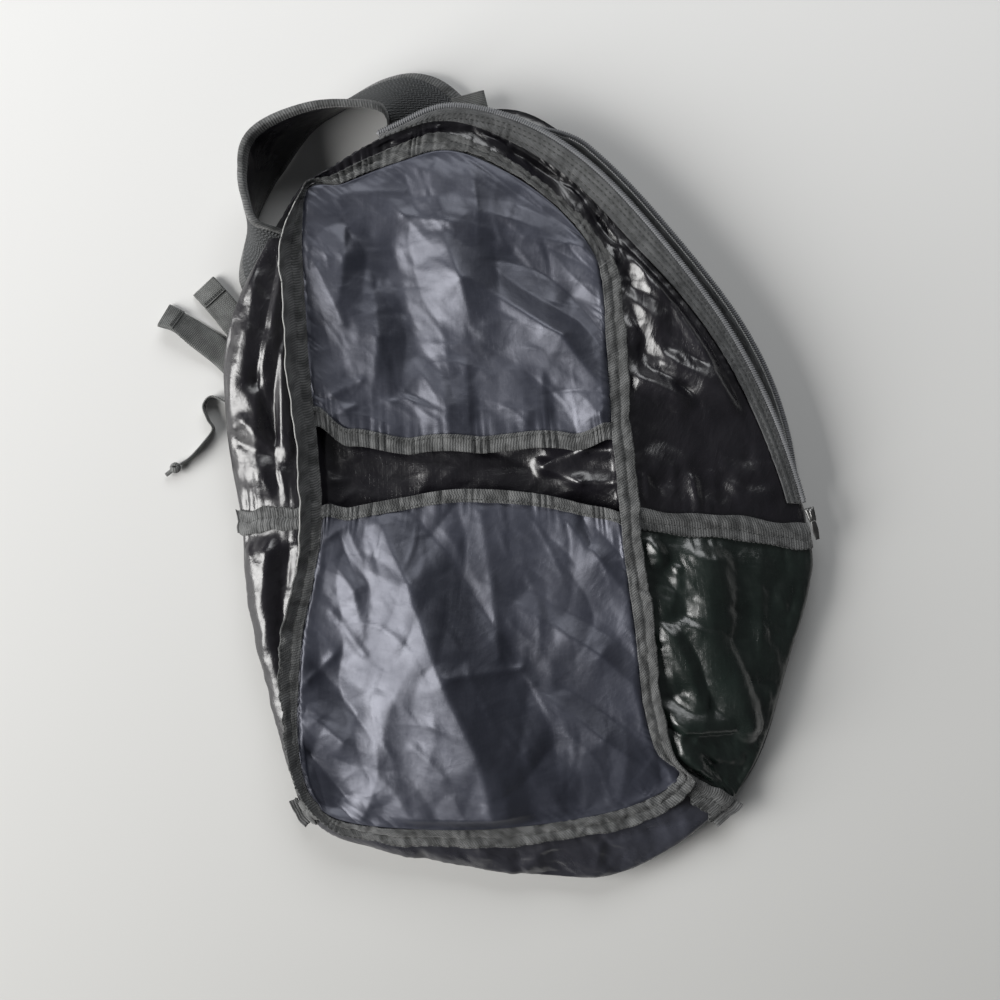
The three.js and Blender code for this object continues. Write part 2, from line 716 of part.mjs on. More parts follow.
// Rear half of the zip: it stands along the edge of the back panel
const REAR_START = ZIP_START + 2;
const REAR_END = ZIP_END;
function rearZip() {
  const rows = Math.round((REAR_END - REAR_START) * STEPS_PER_STATION);
  const place = (i, reach, height) => {
    const station = REAR_START + (REAR_END - REAR_START) * i;
    const spot = backPoint(station);
    spot.addScaledVector(outward(backPoint, station), reach);
    spot.z = CLOTH + GAP + TAPE_THICK / 2 + height;
    return spot;
  };
  const inner = -0.8 * ZIP_TAPE_WIDTH;
  const tape = (i, j) => place(i, inner * (1 - j), ZIP_RISE * j * j);
  add("zip_tape_back", slab(rows, 2, tape, TAPE_THICK), ZIP_CLOTH);
  const coil = (i, j) => place(i, GAP * 3 + COIL_WIDTH * j, ZIP_RISE);
  add("zip_coil_back", slab(rows, 1, coil, COIL_HEIGHT), COIL);
}

// Slider and its hidden pull tab in one piece, parked at the lower end of the front coil
function slider() {
  const end = ZIP_END + stationStep(ZIP_END, GAP * 2);
  const at = gussetOffset(end, OUTLINE_SHARE, ZIP_SEAT);
  const next = gussetOffset(end + 0.1, OUTLINE_SHARE, ZIP_SEAT);
  const out = outward(outlinePoint, end);
  const half = SLIDER_WIDTH / 2;
  const profile = new THREE.Shape();
  profile.moveTo(-half, 0);
  profile.lineTo(half, 0);
  profile.lineTo(half * 0.8, SLIDER_LENGTH * 0.75);
  profile.lineTo(PULL_WIDTH / 2, SLIDER_LENGTH);
  profile.lineTo(PULL_WIDTH / 2, SLIDER_LENGTH + PULL_LENGTH);
  profile.lineTo(-PULL_WIDTH / 2, SLIDER_LENGTH + PULL_LENGTH);
  profile.lineTo(-PULL_WIDTH / 2, SLIDER_LENGTH);
  profile.lineTo(-half * 0.8, SLIDER_LENGTH * 0.75);
  profile.closePath();
  const body = new THREE.ExtrudeGeometry(profile, { depth: SLIDER_HEIGHT, bevelEnabled: false });
  const mesh = add("zip_slider", body, METAL);
  const run = next.clone().sub(at).setZ(0).normalize();
  mesh.rotation.z = Math.atan2(-run.x, run.y);
  mesh.position.copy(at).addScaledVector(out, GAP * 2 + half);
  mesh.position.z -= SLIDER_HEIGHT / 2;
}

// Straps and webbing follow a route with a lean; the outer face looks to the right of the route.
const LAYER = WEBBING_THICK + GAP;
function routeFrame(rows, share, width, thickness) {
  const step = 0.004;
  const level = (at) =>
    new THREE.Vector3(
      along(rows, "x", at) * BAG_WIDTH,
      along(rows, "y", at) * BAG_HEIGHT,
      0,
    );
  const run = level(share + step).sub(level(share - step)).normalize();
  const out = new THREE.Vector3(run.y, -run.x, 0);
  const lean = THREE.MathUtils.degToRad(along(rows, "lean", share));
  const across = out.multiplyScalar(Math.cos(lean)).setZ(Math.sin(lean));
  const centre = level(share);
  const stands = (width / 2) * Math.abs(Math.sin(lean)) + (thickness / 2) * Math.abs(Math.cos(lean));
  const over = Math.max(along(rows, "over", share), 0);
  centre.z = stands + GAP * 0.5 + over * LAYER + (over > 0 ? Math.min(over, 0.4) * CLOTH * 2.5 : 0);
  return { centre, across };
}
function strip(name, rows, steps, cells, from, to, full, thickness, material) {
  const point = (i, j) => {
    const { centre, across } = routeFrame(rows, i, full, thickness);
    return centre.addScaledVector(across, from + (to - from) * j);
  };
  add(name, slab(steps, cells, point, thickness), material);
}
function strap(name, rows, steps) {
  const half = STRAP_WIDTH / 2;
  const pad = half - STRAP_BINDING - SEAM_GAP * 1.4;
  strip(name + "_pad", rows, steps, 3, -pad, pad, STRAP_WIDTH, STRAP_THICK, MESH_PAD);
  const ends = [
    ["_binding_low", -half, STRAP_BINDING - half],
    ["_binding_high", half - STRAP_BINDING, half],
  ];
  for (const [end, from, to] of ends) {
    strip(name + end, rows, steps, 1, from, to, STRAP_WIDTH, STRAP_THICK, TAPE);
  }
}
function webbing(name, rows, steps, width, thickness, material) {
  strip(name, rows, steps, 1, -width / 2, width / 2, width, thickness, material);
}

// Knot at the end of the ribbon
function ribbonKnot() {
  const { centre } = routeFrame(PULL_RIBBON, 1, RIBBON_WIDTH, RIBBON_THICK);
  const before = routeFrame(PULL_RIBBON, 0.97, RIBBON_WIDTH, RIBBON_THICK).centre;
  const run = centre.clone().sub(before).setZ(0).normalize();
  const knot = add("ribbon_knot", new THREE.SphereGeometry(KNOT_SIZE / 2, 10, 6), WEBBING);
  knot.position.copy(centre).addScaledVector(run, KNOT_SIZE / 2 + GAP * 0.5);
  knot.position.z = KNOT_SIZE / 2 + GAP * 0.5;
}

// Plain strap adjuster, hidden inside the bag at the end of a strap
function ladderLock(name, rows) {
  const { centre } = routeFrame(rows, 1, STRAP_WIDTH, STRAP_THICK);
  const before = routeFrame(rows, 0.98, STRAP_WIDTH, STRAP_THICK).centre;
  const run = centre.clone().sub(before).setZ(0).normalize();
  const lock = add(name, new THREE.BoxGeometry(LOCK_LENGTH, LOCK_WIDTH, LOCK_THICK), PLASTIC);
  lock.rotation.z = Math.atan2(run.y, run.x);
  lock.position.copy(centre).addScaledVector(run, LOCK_LENGTH / 2 + GAP);
  lock.position.z = centre.z - STRAP_THICK / 2 + LOCK_THICK / 2;
}

backPanel();
backTape();
frontPanel();
gusset("gusset_upper", LEFT_SIDE, RIGHT_SIDE, RIPSTOP);
gusset("gusset_right_lower", RIGHT_SIDE, BASE_RIGHT, RIPSTOP_GREEN);
gusset("bottom_panel", BASE_RIGHT, BASE_LEFT, RIPSTOP);
gusset("gusset_left_lower", BASE_LEFT, STATIONS, RIPSTOP);
pocketSheet("pocket_sheet_upper", upperHem, sheetTop, UPPER_SHEET_FOLDS);
pocketSheet("pocket_sheet_lower", sheetBase, lowerHem, LOWER_SHEET_FOLDS);
hemTape("hem_tape_upper", upperHem, sheetTop, false, UPPER_SHEET_FOLDS);
hemTape("hem_tape_lower", sheetBase, lowerHem, true, LOWER_SHEET_FOLDS);
seamTape("binding_front_left", BASE_LEFT, STATIONS + TOP_LEFT);
seamTape("binding_front_top", TOP_LEFT, TOP_RIGHT);
seamTape("binding_front_right", TOP_RIGHT, BASE_RIGHT);
seamTape("binding_front_bottom", BASE_RIGHT, BASE_LEFT);
crossTape("binding_cross_right", RIGHT_SIDE, CROSS_BEYOND);
crossTape("binding_cross_left", STATIONS, CROSS_BEYOND);
crossTape("binding_corner_right", BASE_RIGHT, CORNER_BEYOND);
crossTape("binding_corner_left", BASE_LEFT, CORNER_BEYOND);
frontZip();
rearZip();
slider();
strap("strap_left", STRAP_LEFT, 30);
strap("strap_right", STRAP_RIGHT, 8);
webbing("webbing_tail_left", TAIL_LEFT, 12, WEBBING_WIDTH, WEBBING_THICK, WEBBING);
webbing("webbing_tail_right", TAIL_RIGHT, 18, WEBBING_WIDTH, WEBBING_THICK, WEBBING);
webbing("haul_loop", HAUL_LOOP, 6, LOOP_WIDTH, WEBBING_THICK, WEBBING);
webbing("pull_ribbon", PULL_RIBBON, 28, RIBBON_WIDTH, RIBBON_THICK, WEBBING);
ribbonKnot();
ladderLock("ladder_lock_left", STRAP_LEFT);
ladderLock("ladder_lock_right", STRAP_RIGHT);

export default bag;
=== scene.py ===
"""Looks of a packable backpack that lies inside out on its back panel.

Lengths are millimetres until a mesh is written, which is in metres. X runs across the bag, Y from
its base to its top edge and Z up. Surfaces are grids worked out with numpy from the same tables of
stations as the solid model: the front seam, the outline and the back panel's outline.
"""

import logging
import math
from dataclasses import dataclass
from enum import Enum
from typing import Callable, Sequence

import bpy
import numpy as np
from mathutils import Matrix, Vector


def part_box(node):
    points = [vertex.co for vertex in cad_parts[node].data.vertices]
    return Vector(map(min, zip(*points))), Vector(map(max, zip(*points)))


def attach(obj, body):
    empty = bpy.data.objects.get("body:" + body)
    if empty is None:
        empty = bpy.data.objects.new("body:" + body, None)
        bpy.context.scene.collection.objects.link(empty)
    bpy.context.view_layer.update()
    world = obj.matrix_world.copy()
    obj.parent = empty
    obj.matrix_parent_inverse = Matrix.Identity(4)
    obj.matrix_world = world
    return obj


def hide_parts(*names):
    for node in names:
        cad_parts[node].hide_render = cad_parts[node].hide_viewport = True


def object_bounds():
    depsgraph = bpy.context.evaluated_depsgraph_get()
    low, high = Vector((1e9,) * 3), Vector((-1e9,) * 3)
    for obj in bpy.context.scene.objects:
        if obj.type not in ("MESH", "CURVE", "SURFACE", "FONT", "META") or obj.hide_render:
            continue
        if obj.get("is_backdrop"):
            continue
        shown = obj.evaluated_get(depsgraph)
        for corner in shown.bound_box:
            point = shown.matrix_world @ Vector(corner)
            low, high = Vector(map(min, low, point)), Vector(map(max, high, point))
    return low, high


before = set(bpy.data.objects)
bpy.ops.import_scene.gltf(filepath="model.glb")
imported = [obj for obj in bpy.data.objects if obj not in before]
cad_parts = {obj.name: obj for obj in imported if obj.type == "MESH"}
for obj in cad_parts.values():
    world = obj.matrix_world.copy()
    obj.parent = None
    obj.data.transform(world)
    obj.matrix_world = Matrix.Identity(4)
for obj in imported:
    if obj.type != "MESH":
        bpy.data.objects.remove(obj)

Array = np.ndarray
Colour = tuple[float, float, float]
Socket = bpy.types.NodeSocket
Node = bpy.types.Node
NodeTree = bpy.types.NodeTree
Paint = bpy.types.Material
Thing = bpy.types.Object
log = logging.getLogger("backpack")

MM = 0.001
UP = np.array([0.0, 0.0, 1.0])
ACROSS = np.array([0.0, 1.0, 0.0])

# Driving sizes of the bag as it lies
BAG_WIDTH = 331.0
BAG_HEIGHT = 442.0
BAG_LOFT = 52.0
TUCK_DEPTH = 14.0
PANEL_SAG = 3.0
CLOTH = 1.2
TAPE_WIDTH = 11.5
GAP = 0.4
BACK_TAPE_WIDTH = 7.0
ZIP_TAPE_WIDTH = 15.0
ZIP_RISE = 6.0
COIL_WIDTH = 3.2
WEBBING_THICK = 1.5
CUT_ALLOWANCE = 1.02

# Stations with a name
LEFT_SIDE = 0
TOP_LEFT = 3
ZIP_START = 5
TOP_RIGHT = 9
RIGHT_SIDE = 12
BASE_RIGHT = 17
BASE_LEFT = 23
STATIONS = 28
ZIP_END = RIGHT_SIDE - 1 / 3

# Stitches of the binding tapes
STITCH_PITCH = 2.9
THREAD_RADIUS = 0.3


class Table:
    """Rows of numbers with named columns, read smoothly round or along."""

    def __init__(self, columns: str, *rows: Sequence[float]) -> None:
        """Keep each column as an array under its name."""
        self.columns = {
            name: np.array([row[k] for row in rows], float)
            for k, name in enumerate(columns.split())
        }

    def __getitem__(self, name: str) -> Array:
        """The column under this name."""
        return self.columns[name]

    def __len__(self) -> int:
        """The number of rows."""
        return len(next(iter(self.columns.values())))

    def around(self, name: str, station: Array) -> Array:
        """A closed table read by a Catmull-Rom curve through its stations.

        Args:
            name: the column.
            station: places along it, which wrap at the last row.

        Returns:
            The column's value at each place.
        """
        values = self.columns[name]
        whole = np.floor(station).astype(int)
        picks = [values[(whole + k) % len(values)] for k in (-1, 0, 1, 2)]
        return catmull(*picks, station - whole)

    def along(self, name: str, share: Array) -> Array:
        """An open table read by the same curve from its first row to its last.

        Args:
            name: the column.
            share: 0 at the first row and 1 at the last.

        Returns:
            The column's value at each share.
        """
        values = self.columns[name]
        last = len(values) - 1
        padded = np.concatenate(
            [[2 * values[0] - values[1]], values, [2 * values[-1] - values[-2]]]
        )
        place = np.clip(share, 0, 1) * last
        whole = np.minimum(np.floor(place).astype(int), last - 1)
        picks = [padded[whole + k] for k in (0, 1, 2, 3)]
        return catmull(*picks, place - whole)


def catmull(before: Array, start: Array, end: Array, after: Array, share: Array) -> Array:
    """Catmull-Rom curve from start to end, which leans on the values before and after.

    Args:
        before: value before the start.
        start: value at share 0.
        end: value at share 1.
        after: value after the end.
        share: way from start to end.

    Returns:
        The value at the share.
    """
    square = share * share
    cube = square * share
    return 0.5 * (
        2 * start
        + (end - before) * share
        + (2 * before - 5 * start + 4 * end - after) * square
        + (3 * start - before - 3 * end + after) * cube
    )


def ease(value: Array, reach: float) -> Array:
    """A smooth step from 0 at 0 to 1 at the reach."""
    share = np.clip(np.asarray(value, float) / reach, 0, 1)
    return share * share * (3 - 2 * share)


def bell(value: Array, width: float) -> Array:
    """A smooth bump: 1 at 0, and about a third at the width."""
    return np.exp(-((value / width) ** 2))


def lattice(rows: Array, columns: Array) -> tuple[Array, Array]:
    """Two grids, one with each row's value and one with each column's."""
    first, second = np.meshgrid(rows, columns, indexing="ij")
    return first, second


def ridges(*crests: Sequence[Sequence[float]]) -> list[Table]:
    """Ridges in millimetres, one for each crest.

    Args:
        crests: for each ridge the points of its crest, with the height there and how far the flank
            reaches to the left and to the right of the way along them.

    Returns:
        A table for each ridge.
    """
    return [Table("x y high left right", *rows) for rows in crests]


# The front seam by station: shares of BAG_WIDTH, BAG_HEIGHT, BAG_LOFT and TAPE_WIDTH
SEAM = Table(
    "x y z lift",
    (-0.334, -0.032, 0.6, 0.3),
    (-0.342, 0.062, 0.64, 0.45),
    (-0.36, 0.206, 0.67, 0.5),
    (-0.361, 0.364, 0.68, 0.2),
    (-0.294, 0.384, 0.65, 0.15),
    (-0.202, 0.411, 0.64, 0.15),
    (-0.119, 0.425, 0.66, 0.2),
    (-0.026, 0.399, 0.66, 0.15),
    (0.069, 0.346, 0.68, 0.15),
    (0.131, 0.275, 0.74, 0.15),
    (0.144, 0.173, 0.8, 0.1),
    (0.154, 0.061, 0.84, 0.1),
    (0.167, -0.034, 0.78, 0.1),
    (0.178, -0.1, 0.72, 0.15),
    (0.195, -0.188, 0.66, 0.2),
    (0.208, -0.27, 0.58, 0.2),
    (0.231, -0.33, 0.5, 0.2),
    (0.269, -0.361, 0.44, 0.15),
    (0.203, -0.395, 0.44, 0.15),
    (0.092, -0.416, 0.48, 0.1),
    (-0.06, -0.428, 0.5, 0.1),
    (-0.203, -0.427, 0.48, 0.1),
    (-0.296, -0.419, 0.42, 0.15),
    (-0.34, -0.4, 0.42, 0.2),
    (-0.366, -0.359, 0.48, 0.25),
    (-0.376, -0.283, 0.5, 0.25),
    (-0.369, -0.189, 0.52, 0.2),
    (-0.346, -0.101, 0.56, 0.2),
)

# The outline by station: z its height, middle the height half way to the seam, tuck how far the
# edge curls in, a share of TUCK_DEPTH, and rise how high that edge stays, a share of BAG_LOFT
OUTLINE = Table(
    "x y z middle tuck rise",
    (-0.471, -0.042, 0.34, 0.56, 0.8, 0.05),
    (-0.492, 0.082, 0.46, 0.6, 0.3, 0.24),
    (-0.481, 0.211, 0.64, 0.68, 0.2, 0.46),
    (-0.379, 0.36, 0.7, 0.68, 0.15, 0.58),
    (-0.303, 0.408, 0.66, 0.62, 0.2, 0.54),
    (-0.199, 0.45, 0.68, 0.6, 0.1, 0.54),
    (-0.115, 0.473, 0.68, 0.58, 0.05, 0.54),
    (-0.001, 0.456, 0.6, 0.5, 0.05, 0.46),
    (0.108, 0.405, 0.6, 0.52, 0.05, 0.46),
    (0.216, 0.32, 0.6, 0.6, 0.05, 0.46),
    (0.337, 0.202, 0.58, 0.7, 0.05, 0.44),
    (0.423, 0.081, 0.5, 0.68, 0.05, 0.36),
    (0.485, -0.06, 0.34, 0.58, 0.5, 0.06),
    (0.485, -0.127, 0.34, 0.56, 0.9, 0),
    (0.452, -0.216, 0.33, 0.52, 1, 0),
    (0.416, -0.312, 0.3, 0.47, 0.9, 0),
    (0.382, -0.369, 0.28, 0.41, 0.8, 0),
    (0.347, -0.403, 0.26, 0.37, 0.7, 0),
    (0.252, -0.459, 0.24, 0.37, 0.8, 0),
    (0.136, -0.493, 0.24, 0.4, 0.9, 0),
    (-0.035, -0.485, 0.24, 0.41, 0.9, 0),
    (-0.188, -0.466, 0.22, 0.39, 0.8, 0),
    (-0.308, -0.445, 0.2, 0.34, 0.7, 0),
    (-0.366, -0.409, 0.2, 0.33, 0.6, 0),
    (-0.391, -0.355, 0.24, 0.42, 0.8, 0),
    (-0.418, -0.274, 0.27, 0.45, 0.9, 0),
    (-0.446, -0.185, 0.3, 0.49, 1, 0),
    (-0.465, -0.108, 0.32, 0.52, 1, 0),
)

# The back panel's outline by station
BACK = Table(
    "x y",
    (-0.455, -0.043),
    (-0.478, 0.084),
    (-0.467, 0.217),
    (-0.374, 0.352),
    (-0.293, 0.403),
    (-0.198, 0.446),
    (-0.1, 0.484),
    (0.01, 0.487),
    (0.124, 0.429),
    (0.238, 0.341),
    (0.376, 0.207),
    (0.448, 0.084),
    (0.474, -0.061),
    (0.469, -0.129),
    (0.438, -0.22),
    (0.401, -0.317),
    (0.366, -0.368),
    (0.331, -0.397),
    (0.245, -0.448),
    (0.135, -0.479),
    (-0.035, -0.471),
    (-0.186, -0.453),
    (-0.3, -0.431),
    (-0.352, -0.403),
    (-0.374, -0.353),
    (-0.402, -0.271),
    (-0.431, -0.183),
    (-0.45, -0.11),
)

# Free edges of the two pocket sheets: u across the front panel, v up it
UPPER_HEM = Table("u v", (0, 0.765), (0.17, 0.722), (0.36, 0.678), (0.55, 0.663), (0.8, 0.693), (1, 0.75))
LOWER_HEM = Table("u v", (0, 0.633), (0.17, 0.62), (0.36, 0.608), (0.55, 0.603), (0.8, 0.606), (1, 0.625))

# Routes: x and y shares of the bag, lean the angle of the width from the surface in degrees, over
# the layers of webbing beneath
STRAP_LEFT = Table(
    "x y lean over",
    (-0.08, 0.395, 180, 1),
    (-0.135, 0.45, 178, 1),
    (-0.178, 0.484, 157, 0.7),
    (-0.225, 0.497, 124, 0.2),
    (-0.295, 0.486, 102, 0),
    (-0.36, 0.468, 88, 0),
    (-0.425, 0.429, 70, 0),
    (-0.446, 0.392, 78, 0),
    (-0.453, 0.358, 90, 0),
    (-0.45, 0.325, 104, 0.1),
    (-0.428, 0.292, 144, 0.6),
    (-0.4, 0.265, 163, 1.2),
    (-0.372, 0.24, 174, 2.2),
    (-0.35, 0.21, 180, 2.4),
)
STRAP_RIGHT = Table(
    "x y lean over",
    (0.02, 0.35, 180, 0.4),
    (0.09, 0.25, 180, 0.4),
    (0.17, 0.12, 180, 0.4),
    (0.2, -0.02, 180, 0.4),
)
TAIL_LEFT = Table(
    "x y lean over",
    (-0.36, 0.165, 180, 1.5),
    (-0.42, 0.182, 180, 1.5),
    (-0.476, 0.205, 180, 1.5),
    (-0.512, 0.236, 178, 0.9),
    (-0.545, 0.263, 184, 0),
)
TAIL_RIGHT = Table(
    "x y lean over",
    (-0.33, 0.09, 180, 0.4),
    (-0.41, 0.115, 180, 0.4),
    (-0.47, 0.147, 176, 0.4),
    (-0.512, 0.176, 170, 0),
    (-0.55, 0.197, 155, 0),
    (-0.582, 0.214, 140, 0),
    (-0.612, 0.224, 150, 0),
)
PULL_RIBBON = Table(
    "x y lean over",
    (-0.445, 0.1, 90, 0.4),
    (-0.5, 0.112, 90, 0.4),
    (-0.529, 0.12, 90, 0),
    (-0.543, 0.108, 90, 0),
    (-0.536, 0.091, 90, 0),
    (-0.527, 0.078, 90, 0),
    (-0.541, 0.062, 90, 0),
    (-0.565, 0.042, 90, 0),
    (-0.583, 0.033, 90, 0),
)
HAUL_LOOP = Table(
    "x y lean over",
    (-0.045, 0.405, 180, 4.5),
    (-0.065, 0.44, 180, 4.5),
    (-0.078, 0.47, 180, 4.7),
    (-0.09, 0.505, 182, 4.7),
)

# Long ridges of the pocket sheets
UPPER_RIDGES = ridges(
    [(-45, 162, 1, 15, 30), (-41, 138, 6, 20, 26), (-33, 115, 9, 22, 20), (-27, 90, 2, 16, 16)],
    [(-33, 118, 2, 20, 14), (-6, 101, 7, 24, 11), (23, 83, 10, 26, 12), (47, 53, 3, 20, 14)],
    [(-65, 153, 0.5, 22, 9), (-7, 149, 3.0, 22, 8), (38, 131, 1.5, 20, 8)],
    [(-22, 190, 2.5, 24, 30), (-28, 158, 3.5, 22, 24)],
    [(-97, 128, 5, 18, 11), (-100, 104, 4, 16, 12), (-96, 88, 1, 10, 10)],
    [(-80, 104, 3, 18, 12), (-78, 84, 5.5, 20, 14), (-80, 62, 3, 16, 14)],
    [(-44, 60, 2, 12, 16), (-40, 45, 5, 17, 16), (-38, 26, 4, 14, 14)],
    [(0, 58, 1.5, 12, 14), (4, 42, 4.5, 16, 13), (2, 26, 3, 12, 12)],
    [(36, 50, 1.5, 12, 10), (44, 40, 4, 15, 10), (46, 28, 3, 12, 10)],
)
LOWER_RIDGES = ridges(
    [
        (-80, -12, 3, 20, 14), (-61, -52, 15, 40, 26), (-42, -106, 22, 58, 40),
        (-24, -146, 19, 60, 42), (-14, -190, 8, 46, 38),
    ],
    [(4, -67, 2, 20, 10), (44, -91, 7, 26, 10), (68, -112, 2, 16, 10)],
    [(24, -121, 3, 20, 10), (46, -138, 7, 24, 10), (68, -154, 2, 16, 10)],
    [(-11, -160, 2, 12, 12), (-5, -186, 4, 14, 12)],
    [(22, -14, 1, 12, 8), (44, -38, 4.5, 18, 9), (60, -60, 1, 12, 8)],
    [(-22, -12, 3, 12, 12), (-16, -50, 2.2, 12, 12), (-12, -96, 1, 10, 10)],
    [(-104, -40, 1, 12, 8), (-92, -56, 4, 14, 9), (-88, -74, 1, 12, 8)],
    [(-112, -128, 2.5, 8, 10), (-98, -140, 4.5, 10, 12), (-84, -146, 1.5, 10, 12)],
    [(-70, -168, 2.5, 14, 12), (-58, -186, 3.5, 12, 12)],
    [(20, -172, 2, 12, 10), (28, -190, 3, 10, 10)],
)

# Folds, in millimetres: a crest (or with a negative height a hollow) from one point to another.
# wide is the reach of its gentle side, and skew makes one side steeper: 1 steepens the right.
FOLDS = "x1 y1 x2 y2 wide high skew"
UPPER_SHEET_FOLDS = Table(
    FOLDS,
    (-64, 151, 34, 133, 3, 0.9, 0.2),
    (-112, 122, -98, 92, 5, 1.2, 0.5),
    (-48, 178, -52, 158, 4, 1.0, -0.6),
    (-104, 52, -88, 60, 3.4, 1.1, 0),
    (-110, 38, -92, 46, 3.4, 1.1, 0),
    (-30, 70, -28, 40, 4, 0.9, 0.3),
    (12, 62, 14, 36, 4, 0.9, 0.3),
    (-70, 132, -58, 74, 15, -4.2, 0),
    (-4, 130, 26, 108, 12, -3.4, 0),
    (28, 104, 40, 92, 9, -2.6, 0),
    (-84, 140, -74, 118, 9, -2.0, 0),
)
LOWER_SHEET_FOLDS = Table(
    FOLDS,
    (-60, -50, 0, -96, 3.4, 0.9, 0.3),
    (-16, -48, -12, -92, 3.4, 0.8, 0.2),
    (-39, -102, 0, -99, 3.2, 1.3, 0.1),
    (0, -99, 7, -107, 3.2, 1.3, 0.1),
    (-106, -26, -85, -11, 4, 1.6, 0.2),
    (34, -16, 39, -30, 3.5, -1.8, 0),
    (-112, -100, -92, -124, 9, -5.0, 0),
    (-117, -148, -99, -172, 9, -5.0, 0),
    (-118, -106, -104, -92, 4, 1.4, 0.2),
    (-104, -68, -86, -90, 4, 1.2, 0.4),
    (-58, -142, -42, -158, 5, 1.2, 0.4),
)
GUSSET_FOLDS = Table(
    FOLDS,
    (54, 132, 54, 88, 5.5, 6.0, 0.3),
    (55, 132, 74, 108, 6, 3.6, 0.2),
    (54, 88, 76, 94, 8, 3.4, -0.3),
    (66, 122, 80, 134, 4, 2.6, 0.1),
    (76, 112, 92, 120, 4.5, 2.6, 0.1),
    (84, 100, 104, 82, 12, 4.4, 0.4),
    (57, 62, 88, 50, 6, 4.4, 0.2),
    (86, 68, 122, 48, 6, 5.0, 0.3),
    (90, 78, 101, 77, 4, 2.0, 0.1),
    (60, 34, 128, 26, 22, -2.6, 0),
    (68, 8, 71, -8, 3.8, 3.2, 0.2),
    (84, 12, 84, -8, 4, 3.2, 0.2),
    (95, 6, 97, -8, 3.6, 3.0, 0.2),
    (107, 8, 107, -8, 3.6, 2.8, 0.2),
    (118, 4, 120, -8, 3.4, 2.2, 0.2),
    (67, -26, 86, -44, 7, 3.6, -0.4),
    (80, -20, 84, -44, 6, -3.2, 0),
    (88, -24, 98, -40, 4.5, 2.8, 0.2),
    (96, -76, 104, -80, 6, 4.2, 0.3),
    (104, -80, 127, -130, 7, 6.4, 0.35),
    (74, -84, 98, -76, 9, 2.0, 0.3),
    (78, -90, 88, -116, 10, 3.6, 0.4),
    (66, -76, 72, -92, 5, 2.6, 0.3),
    (83, -130, 114, -128, 6, 4.6, -0.3),
    (90, -133, 88, -150, 5, 4.0, 0.1),
    (100, -146, 118, -152, 4, 2.6, 0.1),
    (94, -152, 104, -160, 3.6, 2.2, 0.1),
    (134, -26, 133, -80, 9, 3.0, 0.3),
    (133, -80, 130, -132, 9, 3.0, 0.3),
    (110, -40, 112, -70, 12, 2.6, 0.3),
    (-152, 88, -163, 36, 8, 4.0, 0.3),
    (-146, 116, -152, 70, 7, 3.8, 0.3),
    (-134, 124, -146, 60, 7, -8.0, 0),
    (-146, 60, -136, 28, 6, -8.0, 0),
    (-131, 76, -132, 26, 4, 4.6, 0.2),
    (-124, 60, -124, 18, 3, -4.0, 0),
    (-157, 36, -152, 39, 4, 4.2, 0.1),
    (-152, 39, -138, 24, 4, 4.6, 0.1),
    (-156, 26, -140, 20, 4.5, -4.4, 0),
    (-142, 12, -138, -4, 4.5, 3.8, 0.2),
    (-132, 10, -130, -4, 3.8, 3.4, 0.2),
    (-137, -26, -142, -62, 6, 3.2, 0.4),
    (-150, -30, -140, -84, 6, 3.0, 0.4),
    (-128, -34, -134, -90, 5, -5.0, 0),
    (-136, -96, -128, -140, 4, 3.0, 0.2),
    (-128, -100, -124, -150, 3.4, -4.0, 0),
    (-20, -200, 60, -196, 7, 2.2, -0.3),
    (0, -206, 90, -186, 5, -2.0, 0),
    (-80, -196, -20, -204, 6, 1.8, -0.2),
)
SIDE_RIDGES = ridges(
    [
        (-128, 138, 2, 14, 6), (-136, 100, 6, 20, 8), (-145, 55, 8, 20, 9),
        (-146, 18, 5, 16, 9), (-143, 0, 3, 12, 8),
    ],
    [(-128, 78, 2, 8, 5), (-127, 48, 4.5, 10, 5), (-127, 22, 3, 8, 5)],
    [(-140, -12, 3, 14, 6), (-141, -60, 5.5, 14, 7), (-132, -120, 5, 10, 6), (-126, -160, 3, 8, 5)],
    [(58, 146, 2.6, 7, 6), (71, 128, 9.1, 12, 7), (75, 108, 6.5, 12, 8), (73, 92, 1.3, 8, 8)],
    [(84, 122, 2.6, 8, 8), (96, 104, 9.1, 15, 9), (108, 80, 7.8, 14, 8), (112, 66, 2.6, 10, 8)],
    [(56, 66, 3.9, 7, 8), (72, 58, 7.2, 8, 7), (90, 48, 2.6, 6, 7)],
    [(84, 71, 3.9, 8, 6), (102, 60, 9.8, 10, 7), (122, 47, 3.2, 7, 6)],
    [(66, -14, 2.6, 5, 6), (72, -26, 7.8, 8, 5), (76, -38, 3.9, 7, 6)],
    [(90, -20, 2.6, 8, 14), (103, -40, 7.8, 14, 16), (104, -74, 5.2, 12, 14)],
    [
        (94, -76, 3.9, 8, 6), (105, -82, 10.4, 12, 9), (117, -106, 11.1, 14, 9),
        (128, -131, 5.2, 10, 7),
    ],
    [(84, -82, 3.9, 10, 7), (92, -98, 7.8, 12, 7), (98, -118, 3.9, 10, 7)],
    [(80, -126, 3.9, 4, 9), (92, -132, 8.5, 4, 12), (116, -133, 3.9, 3, 9)],
    [(92, -146, 2.6, 5, 5), (100, -154, 5.9, 5, 5), (108, -162, 2.6, 4, 5)],
)
